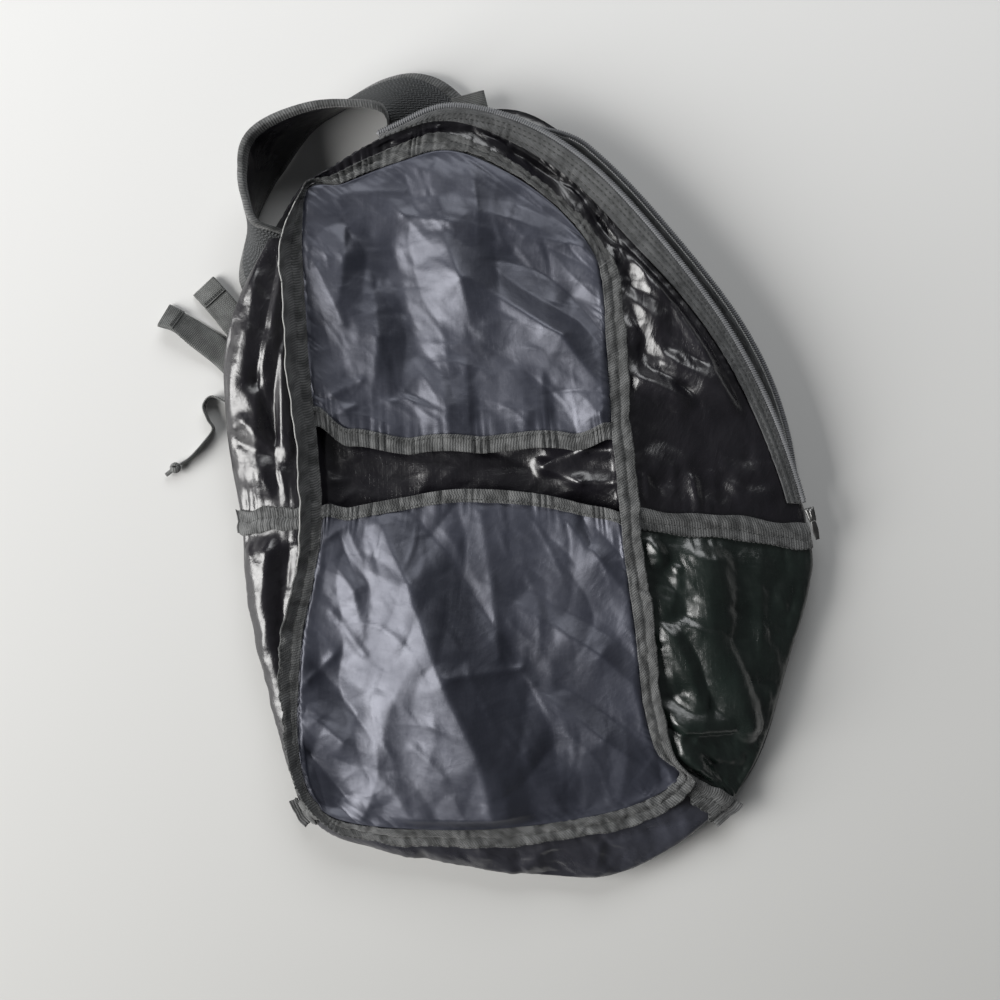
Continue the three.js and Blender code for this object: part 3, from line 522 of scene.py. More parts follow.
# Broad swells under those ridges
SIDE_SLOPES = ridges(
    [(84, 142, 2, 22, 10), (100, 112, 7, 40, 11), (114, 78, 7, 44, 11), (122, 50, 2, 28, 10)],
    [(98, -20, 2, 20, 16), (110, -60, 5, 36, 16), (120, -110, 5, 38, 12), (124, -140, 2, 20, 10)],
)
MIDDLE_FOLDS = Table(
    FOLDS,
    (12, 13, 34, 22, 5, 4.6, -0.3),
    (34, 22, 54, 21, 5, 4.4, -0.3),
    (12, 11, 32, 4, 5, 4.0, -0.3),
    (32, 4, 52, 3, 5, 3.6, 0),
    (-92, 22, -40, 10, 6, 1.4, 0.2),
    (-20, 22, 20, 6, 8, -3.0, 0),
    (52, 6, 60, 2, 4, 2.4, 0.1),
)


def from_stretch(
    x: Array, y: Array, start: tuple[float, float], run: tuple[float, float]
) -> tuple[Array, Array, Array]:
    """How places lie to a straight stretch.

    Args:
        x: places across the bag.
        y: places up the bag.
        start: where the stretch starts.
        run: its way across and up.

    Returns:
        The share of its way that is nearest, the distance from there, and the distance to the
        right of its line.
    """
    length = math.hypot(*run)
    across, up = x - start[0], y - start[1]
    share = np.clip((across * run[0] + up * run[1]) / (length * length), 0, 1)
    distance = np.hypot(across - share * run[0], up - share * run[1])
    return share, distance, (across * run[1] - up * run[0]) / length


def fold_height(x: Array, y: Array, folds: Table, sharp: float = 1.35) -> Array:
    """Sum of all folds of a table: each falls off from its line as exp(-(distance / width)^sharp).

    Args:
        x: places across the bag.
        y: places up the bag.
        folds: the table of folds.
        sharp: below 2, the crest is a crease, not a round back.

    Returns:
        Height at each place, in millimetres.
    """
    total = np.zeros_like(x)
    for k in range(len(folds)):
        ax, ay = folds["x1"][k], folds["y1"][k]
        bx, by = folds["x2"][k] - ax, folds["y2"][k] - ay
        share, distance, side = from_stretch(x, y, (ax, ay), (bx, by))
        rightness = side * (1 if by < 0 else -1) / np.maximum(distance, 1e-6)
        width = folds["wide"][k] * (1 - 0.75 * folds["skew"][k] * np.clip(-rightness, 0, 1))
        width = width * (0.7 + 0.3 * np.sin(np.pi * share))
        total += folds["high"][k] * np.exp(-((distance / width) ** sharp))
    return total


def between(table: Table, name: str, row: int, share: Array) -> Array:
    """A column read straight from one row to the next."""
    values = table[name]
    return values[row] + (values[row + 1] - values[row]) * share


def ridge_height(x: Array, y: Array, ridge: Table) -> Array:
    """One long ridge with nearly flat flanks, which fall to nothing at their reach.

    Args:
        x: places across the bag.
        y: places up the bag.
        ridge: crest points with their height and the reach of both flanks.

    Returns:
        Height at each place: high * (1 - distance / reach)^1.06 of the nearest stretch.
    """
    total = np.zeros_like(x)
    for k in range(len(ridge) - 1):
        ax, ay = ridge["x"][k], ridge["y"][k]
        bx, by = ridge["x"][k + 1] - ax, ridge["y"][k + 1] - ay
        share, distance, side = from_stretch(x, y, (ax, ay), (bx, by))
        leftness = 0.5 - 0.5 * np.tanh(-side / 1.2 * (1 if by < 0 else -1))
        left = between(ridge, "left", k, share)
        reach = left * leftness + between(ridge, "right", k, share) * (1 - leftness)
        away = np.hypot(distance, 0.8) - 0.8
        high = between(ridge, "high", k, share)
        total = np.maximum(total, high * np.clip(1 - away / reach, 0, 1) ** 1.06)
    return total


def crumple(
    x: Array, y: Array, seed: int, size: float, angle: float = 0.0, stretch: float = 1.0
) -> Array:
    """Crumpled ground: a swell folded over at its zero lines, so that flat flanks meet in creases.

    Args:
        x: places across.
        y: places up.
        seed: which random ground.
        size: the usual wavelength of the swell.
        angle: direction that the creases keep to, in degrees.
        stretch: how much longer they are that way.

    Returns:
        Height from about 0.8 on the creases down to about -1.
    """
    turn = math.radians(angle)
    along = (x * math.cos(turn) + y * math.sin(turn)) / stretch
    across = y * math.cos(turn) - x * math.sin(turn)
    along = along + 0.12 * size * swell(x, y, seed + 500, 1.7 * size, 6)
    ground = swell(along, across, seed, size, 9)
    return 0.8 - np.sqrt(ground * ground + 0.01)


def swell(x: Array, y: Array, seed: int, size: float, waves: int = 14) -> Array:
    """Soft random ground: a sum of sines in random directions with wavelengths round the size.

    Args:
        x: places across.
        y: places up.
        seed: which random ground.
        size: the usual wavelength.
        waves: how many sines.

    Returns:
        Height with a spread of about 1.
    """
    random = np.random.default_rng(seed)
    angle = random.uniform(0, 2 * np.pi, waves)
    length = size * random.uniform(0.7, 1.6, waves)
    phase = random.uniform(0, 2 * np.pi, waves)
    total = np.zeros_like(x)
    for a, wave, shift in zip(angle, length, phase):
        total += np.sin((x * np.cos(a) + y * np.sin(a)) * 2 * np.pi / wave + shift)
    return total / math.sqrt(waves / 2)


def creases(
    x: Array,
    y: Array,
    seed: int,
    count: int,
    length: float,
    width: float,
    angle: float = 0.0,
    spread: float = 180.0,
    sharp: float = 1.3,
) -> Array:
    """Short random creases: a sharp crest across and a soft end along each of them.

    Args:
        x: places across.
        y: places up.
        seed: which random set.
        count: how many creases over the piece.
        length: half their usual length.
        width: half their usual width.
        angle: the direction they keep to, in degrees.
        spread: how far they turn from it.
        sharp: 2 for a round back, lower for a crease.

    Returns:
        Height with crests of about 1.
    """
    random = np.random.default_rng(seed)
    cx = random.uniform(x.min(), x.max(), count)
    cy = random.uniform(y.min(), y.max(), count)
    turn = np.radians(angle + spread * random.uniform(-0.5, 0.5, count))
    half = length * random.uniform(0.5, 1.5, count)
    thick = width * random.uniform(0.6, 1.5, count)
    high = random.uniform(0.35, 1.0, count) * random.choice([1, 1, -1], count)
    bend = random.uniform(-0.25, 0.25, count) / length
    total = np.zeros_like(x)
    for k in range(count):
        along = (x - cx[k]) * math.cos(turn[k]) + (y - cy[k]) * math.sin(turn[k])
        across = (y - cy[k]) * math.cos(turn[k]) - (x - cx[k]) * math.sin(turn[k])
        across = across + bend[k] * along * along
        near = (np.abs(along) < 2.4 * half[k]) & (np.abs(across) < 5 * thick[k])
        crest = np.exp(
            -((np.abs(across[near]) / thick[k]) ** sharp) - (along[near] / half[k]) ** 2
        )
        total[near] += high[k] * crest
    return total


def facets(x: Array, y: Array, seed: int, size: float) -> Array:
    """Crumpled facets: the squared distance to the nearest of many random points, bent by a swell.

    Args:
        x: places across.
        y: places up.
        seed: which random set.
        size: the usual distance between the points.

    Returns:
        Height from 0 in the hollow of a facet to about 1 on the ridges between.
    """
    random = np.random.default_rng(seed)
    warp = 0.22 * size
    wx = x + warp * swell(x, y, seed + 1, 2.2 * size)
    wy = y + warp * swell(x, y, seed + 2, 2.2 * size)
    area = (np.ptp(x) + size) * (np.ptp(y) + size)
    count = int(area / (size * size)) + 4
    cx = random.uniform(x.min() - size / 2, x.max() + size / 2, count)
    cy = random.uniform(y.min() - size / 2, y.max() + size / 2, count)
    offset = random.uniform(0, 0.35, count) * size * size
    nearest = np.full_like(x, 1e9)
    for k in range(count):
        np.minimum(nearest, (wx - cx[k]) ** 2 + (wy - cy[k]) ** 2 + offset[k], out=nearest)
    return nearest / (size * size)


def gathers(place: Array, seed: int, wave: float) -> Array:
    """Gathers along a seam: rounded tops and sharp valleys of uneven spacing.

    Args:
        place: distance along the seam.
        seed: which random run.
        wave: the usual distance between valleys.

    Returns:
        Height from 0 in a valley to 1 on a top.
    """
    random = np.random.default_rng(seed)
    a, b, c = random.uniform(0, 2 * np.pi, 3)
    bent = place + 0.55 * wave * (
        np.sin(place * 2 * np.pi / (4.3 * wave) + a) + 0.6 * np.sin(place * 2 * np.pi / (2.3 * wave) + b)
    )
    height = np.abs(np.sin(np.pi * bent / wave + c)) ** 0.7
    size = 0.65 + 0.35 * np.sin(place * 2 * np.pi / (5.7 * wave) + b)
    return height * size


def unit(vectors: Array) -> Array:
    """The vectors at length 1."""
    return vectors / np.maximum(np.linalg.norm(vectors, axis=-1, keepdims=True), 1e-9)


def normals(grid: Array) -> Array:
    """Directions out of a grid: its change along the rows crossed with that along the columns."""
    return unit(np.cross(np.gradient(grid, axis=0), np.gradient(grid, axis=1)))


def arc_lengths(grid: Array, axis: int) -> Array:
    """Distance walked along an axis of a grid of points, from 0 at its start."""
    steps = np.linalg.norm(np.diff(grid, axis=axis), axis=-1)
    return np.concatenate([np.zeros_like(np.take(steps, [0], axis)), np.cumsum(steps, axis)], axis)


def read_rows(rows: Array, length: Array, at: Array) -> Array:
    """Vectors along a path, read at distances from the rows at its own distances."""
    return np.stack([np.interp(at, length, rows[:, k]) for k in range(3)], -1)


def bag_point(table: Table, station: Array) -> Array:
    """Points of a closed table: its x, y and z columns, scaled to the bag."""
    scales = (("x", BAG_WIDTH), ("y", BAG_HEIGHT), ("z", BAG_LOFT))
    return np.stack([table.around(name, station) * scale for name, scale in scales], -1)


def seam_point(station: Array) -> Array:
    """Points of the front seam."""
    return bag_point(SEAM, station)


def outline_point(station: Array) -> Array:
    """Points of the bag's outline."""
    return bag_point(OUTLINE, station)


def back_point(station: Array) -> Array:
    """Points of the back panel's outline, level with the floor."""
    x = BACK.around("x", station) * BAG_WIDTH
    return np.stack([x, BACK.around("y", station) * BAG_HEIGHT, np.zeros_like(x)], -1)


def outward(point_at: Callable[[Array], Array], station: Array) -> Array:
    """Level direction out of the bag, at right angles to the run of an outline."""
    run = point_at(station + 0.05) - point_at(station - 0.05)
    return unit(np.stack([-run[..., 1], run[..., 0], np.zeros_like(run[..., 0])], -1))


# Where the middle and the outline lie on the side cloth's section, and how high its edge lies
MIDDLE_SHARE = 0.42
OUTLINE_SHARE = 0.82
EDGE_SEAT = CLOTH * 1.5 + GAP * 1.5


def section_points(station: Array) -> list[Array]:
    """Seam, middle, outline and tucked edge of the side cloth at each station."""
    seam = seam_point(station)
    outline = outline_point(station)
    middle = seam + 0.52 * (outline - seam)
    middle[..., 2] = OUTLINE.around("middle", station) * BAG_LOFT
    tuck = np.maximum(OUTLINE.around("tuck", station), 0.04) * TUCK_DEPTH
    edge = outline - outward(outline_point, station) * tuck[..., None]
    edge[..., 2] = EDGE_SEAT + np.maximum(OUTLINE.around("rise", station), 0) * BAG_LOFT
    return [seam, middle, outline, edge]


def side_point(station: Array, share: Array) -> Array:
    """The side cloth without its folds: a Catmull-Rom curve through its section.

    Args:
        station: place round the bag.
        share: 0 at the front seam, 0.82 at the outline and 1 at the tucked edge.

    Returns:
        Points in millimetres.
    """
    station, share = np.broadcast_arrays(np.asarray(station, float), np.asarray(share, float))
    points = section_points(station)
    points = [2 * points[0] - points[1], *points, 2 * points[3] - points[2]]
    knots = np.array([0, MIDDLE_SHARE, OUTLINE_SHARE, 1.0])
    piece = (share >= knots[1]).astype(int) + (share >= knots[2])
    inside = (share - knots[piece]) / (knots[piece + 1] - knots[piece])
    place = np.zeros(share.shape + (3,))
    for k in range(3):
        here = piece == k
        spans = [points[k + m][here] for m in range(4)]
        place[here] = catmull(*spans, inside[here][..., None])
    return place


def side_normal(station: Array, share: Array) -> Array:
    """Direction out of the side cloth, from its change along and across."""
    step = 0.02
    low = np.maximum(share - step, 0)
    run = side_point(station + step, share) - side_point(station - step, share)
    across = side_point(station, low + 2 * step) - side_point(station, low)
    return unit(np.cross(run, across))


def share_of(station: Array, length: Array) -> Array:
    """Share of the section that lies a length from the seam."""
    seam, middle = section_points(station)[:2]
    return length / np.linalg.norm(seam - middle, axis=-1) * MIDDLE_SHARE


def share_back(station: Array, length: Array) -> Array:
    """Share of the section that lies a length inside the outline."""
    _, middle, outline, _ = section_points(station)
    span = OUTLINE_SHARE - MIDDLE_SHARE
    return OUTLINE_SHARE - length / np.linalg.norm(middle - outline, axis=-1) * span * 0.9


def level_span(station: Array) -> Array:
    """Level distance from the seam to the outline."""
    return np.linalg.norm((seam_point(station) - outline_point(station))[..., :2], axis=-1)


def tape_reach(station: Array) -> Array:
    """Width of the binding tape: full, or less where the side cloth is narrow."""
    return np.minimum(TAPE_WIDTH, 0.62 * level_span(station))


def zip_reach(station: Array) -> Array:
    """Width of the zip tape: full, or what the binding tape leaves."""
    return np.minimum(ZIP_TAPE_WIDTH, level_span(station) - tape_reach(station) - GAP * 6)


def panel_point(u: Array, v: Array) -> Array:
    """The front panel: a Coons patch between its four seams, sunk a little in the middle.

    Args:
        u: 0 at the left seam and 1 at the right.
        v: 0 at the base and 1 at the top.

    Returns:
        Points in millimetres.
    """
    u, v = np.broadcast_arrays(np.asarray(u, float), np.asarray(v, float))
    left = seam_point(BASE_LEFT + (STATIONS + TOP_LEFT - BASE_LEFT) * v)
    right = seam_point(BASE_RIGHT - (BASE_RIGHT - TOP_RIGHT) * v)
    base = seam_point(BASE_LEFT - (BASE_LEFT - BASE_RIGHT) * u)
    top = seam_point(TOP_LEFT + (TOP_RIGHT - TOP_LEFT) * u)
    a, b = u[..., None], v[..., None]
    corners = [seam_point(np.array(float(s))) for s in (BASE_LEFT, BASE_RIGHT, TOP_LEFT, TOP_RIGHT)]
    place = left * (1 - a) + right * a + base * (1 - b) + top * b
    place -= corners[0] * (1 - a) * (1 - b) + corners[1] * a * (1 - b)
    place -= corners[2] * (1 - a) * b + corners[3] * a * b
    place[..., 2] -= PANEL_SAG * np.sin(np.pi * u) * np.sin(np.pi * v)
    return place


def hem(table: Table, u: Array) -> Array:
    """Height v of a pocket's free edge: its table read straight, softened near each row."""
    us, vs = table["u"], table["v"]
    k = np.clip(np.searchsorted(us, u, side="left"), 1, len(us) - 1)
    share = (u - us[k - 1]) / (us[k] - us[k - 1])
    smooth = share * share * (3 - 2 * share)
    return vs[k - 1] + (vs[k] - vs[k - 1]) * (0.5 * share + 0.5 * smooth)


@dataclass
class MeshData:
    """Points in millimetres, faces by the number of their corners, and values by point."""

    points: Array
    faces: list[Array]
    flat: Array
    values: dict[str, Array]

    @staticmethod
    def joined(parts: Sequence["MeshData"]) -> "MeshData":
        """All parts as one, with the faces renumbered."""
        faces, start = [], 0
        for part in parts:
            faces.extend(f + start for f in part.faces)
            start += len(part.points)
        names = set.intersection(*(set(part.values) for part in parts))
        values = {name: np.concatenate([part.values[name] for part in parts]) for name in names}
        return MeshData(
            np.concatenate([part.points for part in parts]),
            faces,
            np.concatenate([part.flat for part in parts]),
            values,
        )

    def object(self, name: str, material: Paint) -> Thing:
        """A Blender object at the origin with these points in metres.

        Args:
            name: its name.
            material: its material.

        Returns:
            The object, linked to the scene, with a UV map of millimetres on the cloth.
        """
        mesh = bpy.data.meshes.new(name)
        corners = np.concatenate([f.ravel() for f in self.faces]).astype(np.int32)
        sizes = np.concatenate([np.full(len(f), f.shape[1]) for f in self.faces])
        starts = np.concatenate([[0], np.cumsum(sizes)[:-1]]).astype(np.int32)
        mesh.vertices.add(len(self.points))
        mesh.vertices.foreach_set("co", (self.points * MM).astype(np.float32).ravel())
        mesh.loops.add(len(corners))
        mesh.loops.foreach_set("vertex_index", corners)
        mesh.polygons.add(len(sizes))
        mesh.polygons.foreach_set("loop_start", starts)
        mesh.polygons.foreach_set("use_smooth", np.ones(len(sizes), bool))
        mesh.update(calc_edges=True)
        layer = mesh.uv_layers.new(name="cloth")
        layer.data.foreach_set("uv", self.flat[corners].astype(np.float32).ravel())
        for key, value in self.values.items():
            mesh.attributes.new(key, "FLOAT", "POINT").data.foreach_set("value", value.astype(np.float32))
        mesh.validate()
        made = bpy.data.objects.new(name, mesh)
        bpy.context.scene.collection.objects.link(made)
        made.data.materials.append(material)
        return made


def slab(grid: Array, thickness: Array | float, values: dict[str, Array] | None = None) -> MeshData:
    """Closed wall round a grid of points: half its thickness to each side along the grid's normals.

    Args:
        grid: points, rows by columns.
        thickness: one for all, or one for each point.
        values: further numbers by point of the grid.

    Returns:
        The wall, whose faces look outwards.
    """
    rows, columns = grid.shape[:2]
    half = np.broadcast_to(np.asarray(thickness, float) / 2, (rows, columns))[..., None]
    out = normals(grid) * half
    points = np.concatenate([(grid + out).reshape(-1, 3), (grid - out).reshape(-1, 3)])
    index = np.arange(rows * columns).reshape(rows, columns)
    top = np.stack([index[:-1, :-1], index[1:, :-1], index[1:, 1:], index[:-1, 1:]], -1).reshape(-1, 4)
    below = top[:, ::-1] + rows * columns
    rim = np.concatenate([index[:-1, 0], index[-1, :-1], index[:0:-1, -1], index[0, :0:-1]])
    after = np.roll(rim, -1)
    side = np.stack([after, rim, rim + rows * columns, after + rows * columns], -1)
    flat = np.stack([arc_lengths(grid, 0), arc_lengths(grid, 1)], -1).reshape(-1, 2)
    doubled = {key: np.tile(np.asarray(value, float).ravel(), 2) for key, value in (values or {}).items()}
    return MeshData(points, [np.concatenate([top, below, side])], np.tile(flat, (2, 1)), doubled)


def sweep(centres: Array, across: Array, up: Array, section: Array) -> MeshData:
    """Closed bar: a section carried along a path.

    Args:
        centres: points of the path.
        across: direction of the section's first axis, one for all or one for each point.
        up: direction of its second axis.
        section: the outline, an array of offsets for all points or one outline for each point.

    Returns:
        The bar with both ends closed, outside out when the section runs from across to up.
    """
    section = np.broadcast_to(section, (len(centres),) + section.shape[-2:])
    across, up = np.broadcast_to(across, centres.shape), np.broadcast_to(up, centres.shape)
    grid = (
        centres[:, None]
        + section[..., :1] * across[:, None]
        + section[..., 1:] * up[:, None]
    )
    rows, columns = grid.shape[:2]
    index = np.arange(rows * columns).reshape(rows, columns)
    beside = np.roll(index, -1, axis=1)
    wall = np.stack([index[:-1], beside[:-1], beside[1:], index[1:]], -1).reshape(-1, 4)
    run = centres[1] - centres[0]
    if np.dot(np.cross(across[0], up[0]), run) > 0:
        caps = [index[:1, ::-1], index[-1:]]
    else:
        wall = wall[:, ::-1]
        caps = [index[:1], index[-1:, ::-1]]
    length = arc_lengths(centres, 0)
    flat = np.stack([np.repeat(length, columns), section[..., 0].ravel()], -1)
    return MeshData(grid.reshape(-1, 3), [wall, *caps], flat, {})


def oval(width: float, thick: float, corners: int = 20, square: float = 2.0) -> Array:
    """Outline of a rounded band: a superellipse, rounder for a lower square."""
    turn = np.arange(corners) * 2 * np.pi / corners
    c, s = np.cos(turn), np.sin(turn)
    power = 2 / square
    return np.stack(
        [np.sign(c) * np.abs(c) ** power * width / 2, np.sign(s) * np.abs(s) ** power * thick / 2], -1
    )


def scattered(template: MeshData, centres: Array, x: Array, y: Array, z: Array) -> MeshData:
    """Copies of a small shape: each point is the centre plus its offsets along three directions."""
    count, corners = len(centres), len(template.points)
    p = template.points
    points = (
        centres[:, None]
        + p[None, :, :1] * x[:, None]
        + p[None, :, 1:2] * y[:, None]
        + p[None, :, 2:] * z[:, None]
    ).reshape(-1, 3)
    shift = np.arange(count) * corners
    faces = [(f[None] + shift[:, None, None]).reshape(-1, f.shape[1]) for f in template.faces]
    return MeshData(points, faces, np.tile(template.flat, (count, 1)), {})


def stitch_shape(length: float, radius: float, sag: float = 0.8) -> MeshData:
    """One stitch along X: a round thread whose ends dip into the cloth."""
    at = np.array([-1, -0.55, 0.55, 1])
    centres = np.stack([at * length / 2, np.zeros(4), radius * (0.5 - sag * 2 * at**4)], -1)
    thick = radius * np.array([0.45, 1.0, 1.0, 0.45])
    return sweep(centres, ACROSS, UP, oval(2, 2, 5)[None] * thick[:, None, None])


def stitch_row(path: Array, up: Array, pitch: float = 2.6, radius: float = 0.28) -> MeshData:
    """Stitches along a line of points.

    Args:
        path: points that the seam follows.
        up: direction out of the cloth at each of them.
        pitch: distance from stitch to stitch.
        radius: of the thread.

    Returns:
        All stitches as one mesh.
    """
    length = arc_lengths(path, 0)
    at = np.arange(pitch, length[-1] - pitch / 2, pitch)
    ahead, behind = (read_rows(path, length, at + step) for step in (pitch * 0.4, -pitch * 0.4))
    along = unit(ahead - behind)
    side = unit(np.cross(unit(read_rows(up, length, at)), along))
    stitch = stitch_shape(pitch * 0.72, radius)
    return scattered(stitch, read_rows(path, length, at), along, side, np.cross(along, side))


class Tree:
    """Short words for building a node tree."""

    def __init__(self, tree: NodeTree) -> None:
        """Work on this tree."""
        self.tree = tree

    def node(self, kind: str, **settings: object) -> Node:
        """A node with some of its properties set.

        Args:
            kind: the node's type.
            settings: its properties with their values.

        Returns:
            The node.
        """
        made = self.tree.nodes.new(kind)
        for key, value in settings.items():
            setattr(made, key, value)
        return made

    def link(self, source: Socket, target: Socket) -> None:
        """Join an output to an input."""
        self.tree.links.new(source, target)

    def put(self, target: Socket, value: object) -> None:
        """Join a socket, or set a plain value."""
        if isinstance(value, Socket):
            self.link(value, target)
        else:
            target.default_value = value

    def math(self, operation: str, a: object, b: object = 0.0, c: object = 0.0) -> Socket:
        """Result of a Math node."""
        made = self.node("ShaderNodeMath", operation=operation)
        for socket, value in zip(made.inputs, (a, b, c)):
            self.put(socket, value)
        return made.outputs[0]

    def mix(self, factor: object, a: object, b: object) -> Socket:
        """Mixed colour."""
        made = self.node("ShaderNodeMix", data_type="RGBA")
        self.put(made.inputs[0], factor)
        self.put(made.inputs[6], a)
        self.put(made.inputs[7], b)
        return made.outputs[2]

    def noise(self, vector: Socket, scale: float, detail: float = 4, rough: float = 0.55) -> Socket:
        """Noise from 0 to 1."""
        made = self.node("ShaderNodeTexNoise")
        self.put(made.inputs["Vector"], vector)
        made.inputs["Scale"].default_value = scale
        made.inputs["Detail"].default_value = detail
        made.inputs["Roughness"].default_value = rough
        return made.outputs[0]

    def divided(self, given: Node) -> Socket:
        """A group's place divided by its size."""
        made = self.node("ShaderNodeVectorMath", operation="DIVIDE")
        self.link(given.outputs["Place"], made.inputs[0])
        self.link(given.outputs["Size"], made.inputs[1])
        return made.outputs[0]

    def place_in_mm(self) -> Socket:
        """Object coordinates in millimetres."""
        made = self.node("ShaderNodeVectorMath", operation="SCALE")
        self.link(self.node("ShaderNodeTexCoord").outputs["Object"], made.inputs[0])
        made.inputs["Scale"].default_value = 1 / MM
        return made.outputs[0]

    def bright(
        self, value: Socket, low: float, high: float, a: float = 0.0, b: float = 1.0
    ) -> Socket:
        """A value taken from one range to another and held there."""
        made = self.node("ShaderNodeMapRange")
        for socket, number in zip(made.inputs, (value, low, high, a, b)):
            self.put(socket, number)
        return made.outputs[0]


def group(
    name: str, inputs: dict[str, float | None], outputs: Sequence[str]
) -> tuple[NodeTree, Tree, Node, Node]:
    """A shader node group with named sockets.

    Args:
        name: its name.
        inputs: name of each input with its usual value, or None for a vector.
        outputs: names of the float outputs.

    Returns:
        The group, words to build it, and its input and output nodes.
    """
    tree = bpy.data.node_groups.new(name, "ShaderNodeTree")
    for key, value in inputs.items():
        kind = "NodeSocketVector" if value is None else "NodeSocketFloat"
        socket = tree.interface.new_socket(key, in_out="INPUT", socket_type=kind)
        if value is not None:
            socket.default_value = value
    for key in outputs:
        tree.interface.new_socket(key, in_out="OUTPUT", socket_type="NodeSocketFloat")
    words = Tree(tree)
    return tree, words, words.node("NodeGroupInput"), words.node("NodeGroupOutput")


class Effects:
    """Shader effects that several finishes share, each built once."""

    def __init__(self) -> None:
        """Build every group."""
        self.weave = self.build_weave()
        self.crinkle = self.build_crinkle()
        self.ribs = self.build_ribs()
        self.wear = self.build_wear()

    def build_weave(self) -> NodeTree:
        """Plain weave with thicker threads in a grid, from the cloth's own millimetres."""
        sockets = {"Place": None, "Thread": 0.35, "Grid": 2.4}
        tree, t, given, gone = group("weave", sockets, ["Height", "Threads"])
        parts = t.node("ShaderNodeSeparateXYZ")
        t.link(given.outputs["Place"], parts.inputs[0])
        waves = []
        lines = []
        for axis in (0, 1):
            turn = t.math("DIVIDE", parts.outputs[axis], given.outputs["Thread"])
            waves.append(t.math("SINE", t.math("MULTIPLY", turn, math.tau)))
            cell = t.math("FRACT", t.math("DIVIDE", parts.outputs[axis], given.outputs["Grid"]))
            lines.append(t.math("GREATER_THAN", cell, 0.84))
        weave = t.math("MULTIPLY", waves[0], waves[1])
        threads = t.math("MAXIMUM", lines[0], lines[1])
        t.link(t.math("MULTIPLY_ADD", weave, 0.3, threads), gone.inputs["Height"])
        t.link(threads, gone.inputs["Threads"])
        return tree

    def build_crinkle(self) -> NodeTree:
        """Fine crinkles of coated cloth: sharp crests where a bent noise crosses its middle."""
        tree, t, given, gone = group("crinkle", {"Place": None, "Size": 6.0}, ["Height", "Sheen"])
        place = t.divided(given)
        heights = []
        for scale, share in ((0.45, 1.7), (1.0, 1.0), (2.3, 0.4)):
            n = t.noise(place, scale, 1, 0.4)
            crest = t.math("ABSOLUTE", t.math("SUBTRACT", n, 0.5))
            heights.append(t.math("MULTIPLY", crest, -2 * share))
        t.link(t.math("ADD", t.math("ADD", heights[0], heights[1]), heights[2]), gone.inputs["Height"])
        t.link(t.noise(place, 0.35, 3), gone.inputs["Sheen"])
        return tree

    def build_ribs(self) -> NodeTree:
        """Ribs across a tape with a firm edge along each side."""
        sockets = {"Place": None, "Rib": 0.9, "Thread": 0.5}
        tree, t, given, gone = group("ribs", sockets, ["Height", "Fleck"])
        parts = t.node("ShaderNodeSeparateXYZ")
        t.link(given.outputs["Place"], parts.inputs[0])
        along = t.math("DIVIDE", parts.outputs[0], given.outputs["Rib"])
        rib = t.math("SINE", t.math("MULTIPLY", along, math.tau))
        half = t.math("MULTIPLY", t.math("FLOOR", along), math.pi)
        across = t.math("DIVIDE", parts.outputs[1], given.outputs["Thread"])
        thread = t.math("SINE", t.math("MULTIPLY_ADD", across, math.tau, half))
        t.link(t.math("MULTIPLY_ADD", thread, 0.5, rib), gone.inputs["Height"])
        t.link(t.noise(given.outputs["Place"], 1.6, 5, 0.7), gone.inputs["Fleck"])
        return tree

    def build_wear(self) -> NodeTree:
        """Uneven tone from handling, and sparse pale lint."""
        tree, t, given, gone = group("wear", {"Place": None, "Size": 40.0}, ["Tone", "Lint"])
        place = t.divided(given)
        t.link(t.noise(place, 1.0, 6, 0.6), gone.inputs["Tone"])
        specks = t.noise(place, 45.0, 2, 0.5)
        t.link(t.bright(specks, 0.74, 0.8), gone.inputs["Lint"])
        return tree


class Material:
    """A material under construction: its tree, its shader and the cloth's own place."""

    def __init__(self, name: str, roughness: float) -> None:
        """Start from one Principled shader."""
        self.made = bpy.data.materials.new(name)
        self.made.use_nodes = True
        self.made.node_tree.nodes.clear()
        self.tree = Tree(self.made.node_tree)
        self.shader = self.tree.node("ShaderNodeBsdfPrincipled")
        out = self.tree.node("ShaderNodeOutputMaterial")
        self.tree.link(self.shader.outputs[0], out.inputs[0])
        self.shader.inputs["Roughness"].default_value = roughness
        self.place = self.tree.node("ShaderNodeUVMap", uv_map="cloth").outputs[0]

    def effect(self, tree: NodeTree, **values: float) -> Node:
        """A shared effect placed on the cloth's own place."""
        made = self.tree.node("ShaderNodeGroup", node_tree=tree)
        self.tree.link(self.place, made.inputs["Place"])
        for key, value in values.items():
            made.inputs[key.capitalize()].default_value = value
        return made

    def bump(self, height: Socket, depth: float, before: Socket | None = None) -> Socket:
        """Normal of a relief whose height 1 is the depth in millimetres."""
        made = self.tree.node("ShaderNodeBump")
        made.inputs["Distance"].default_value = depth * MM
        made.inputs["Strength"].default_value = 1.0
        self.tree.link(height, made.inputs["Height"])
        if before is not None:
            self.tree.link(before, made.inputs["Normal"])
        return made.outputs[0]


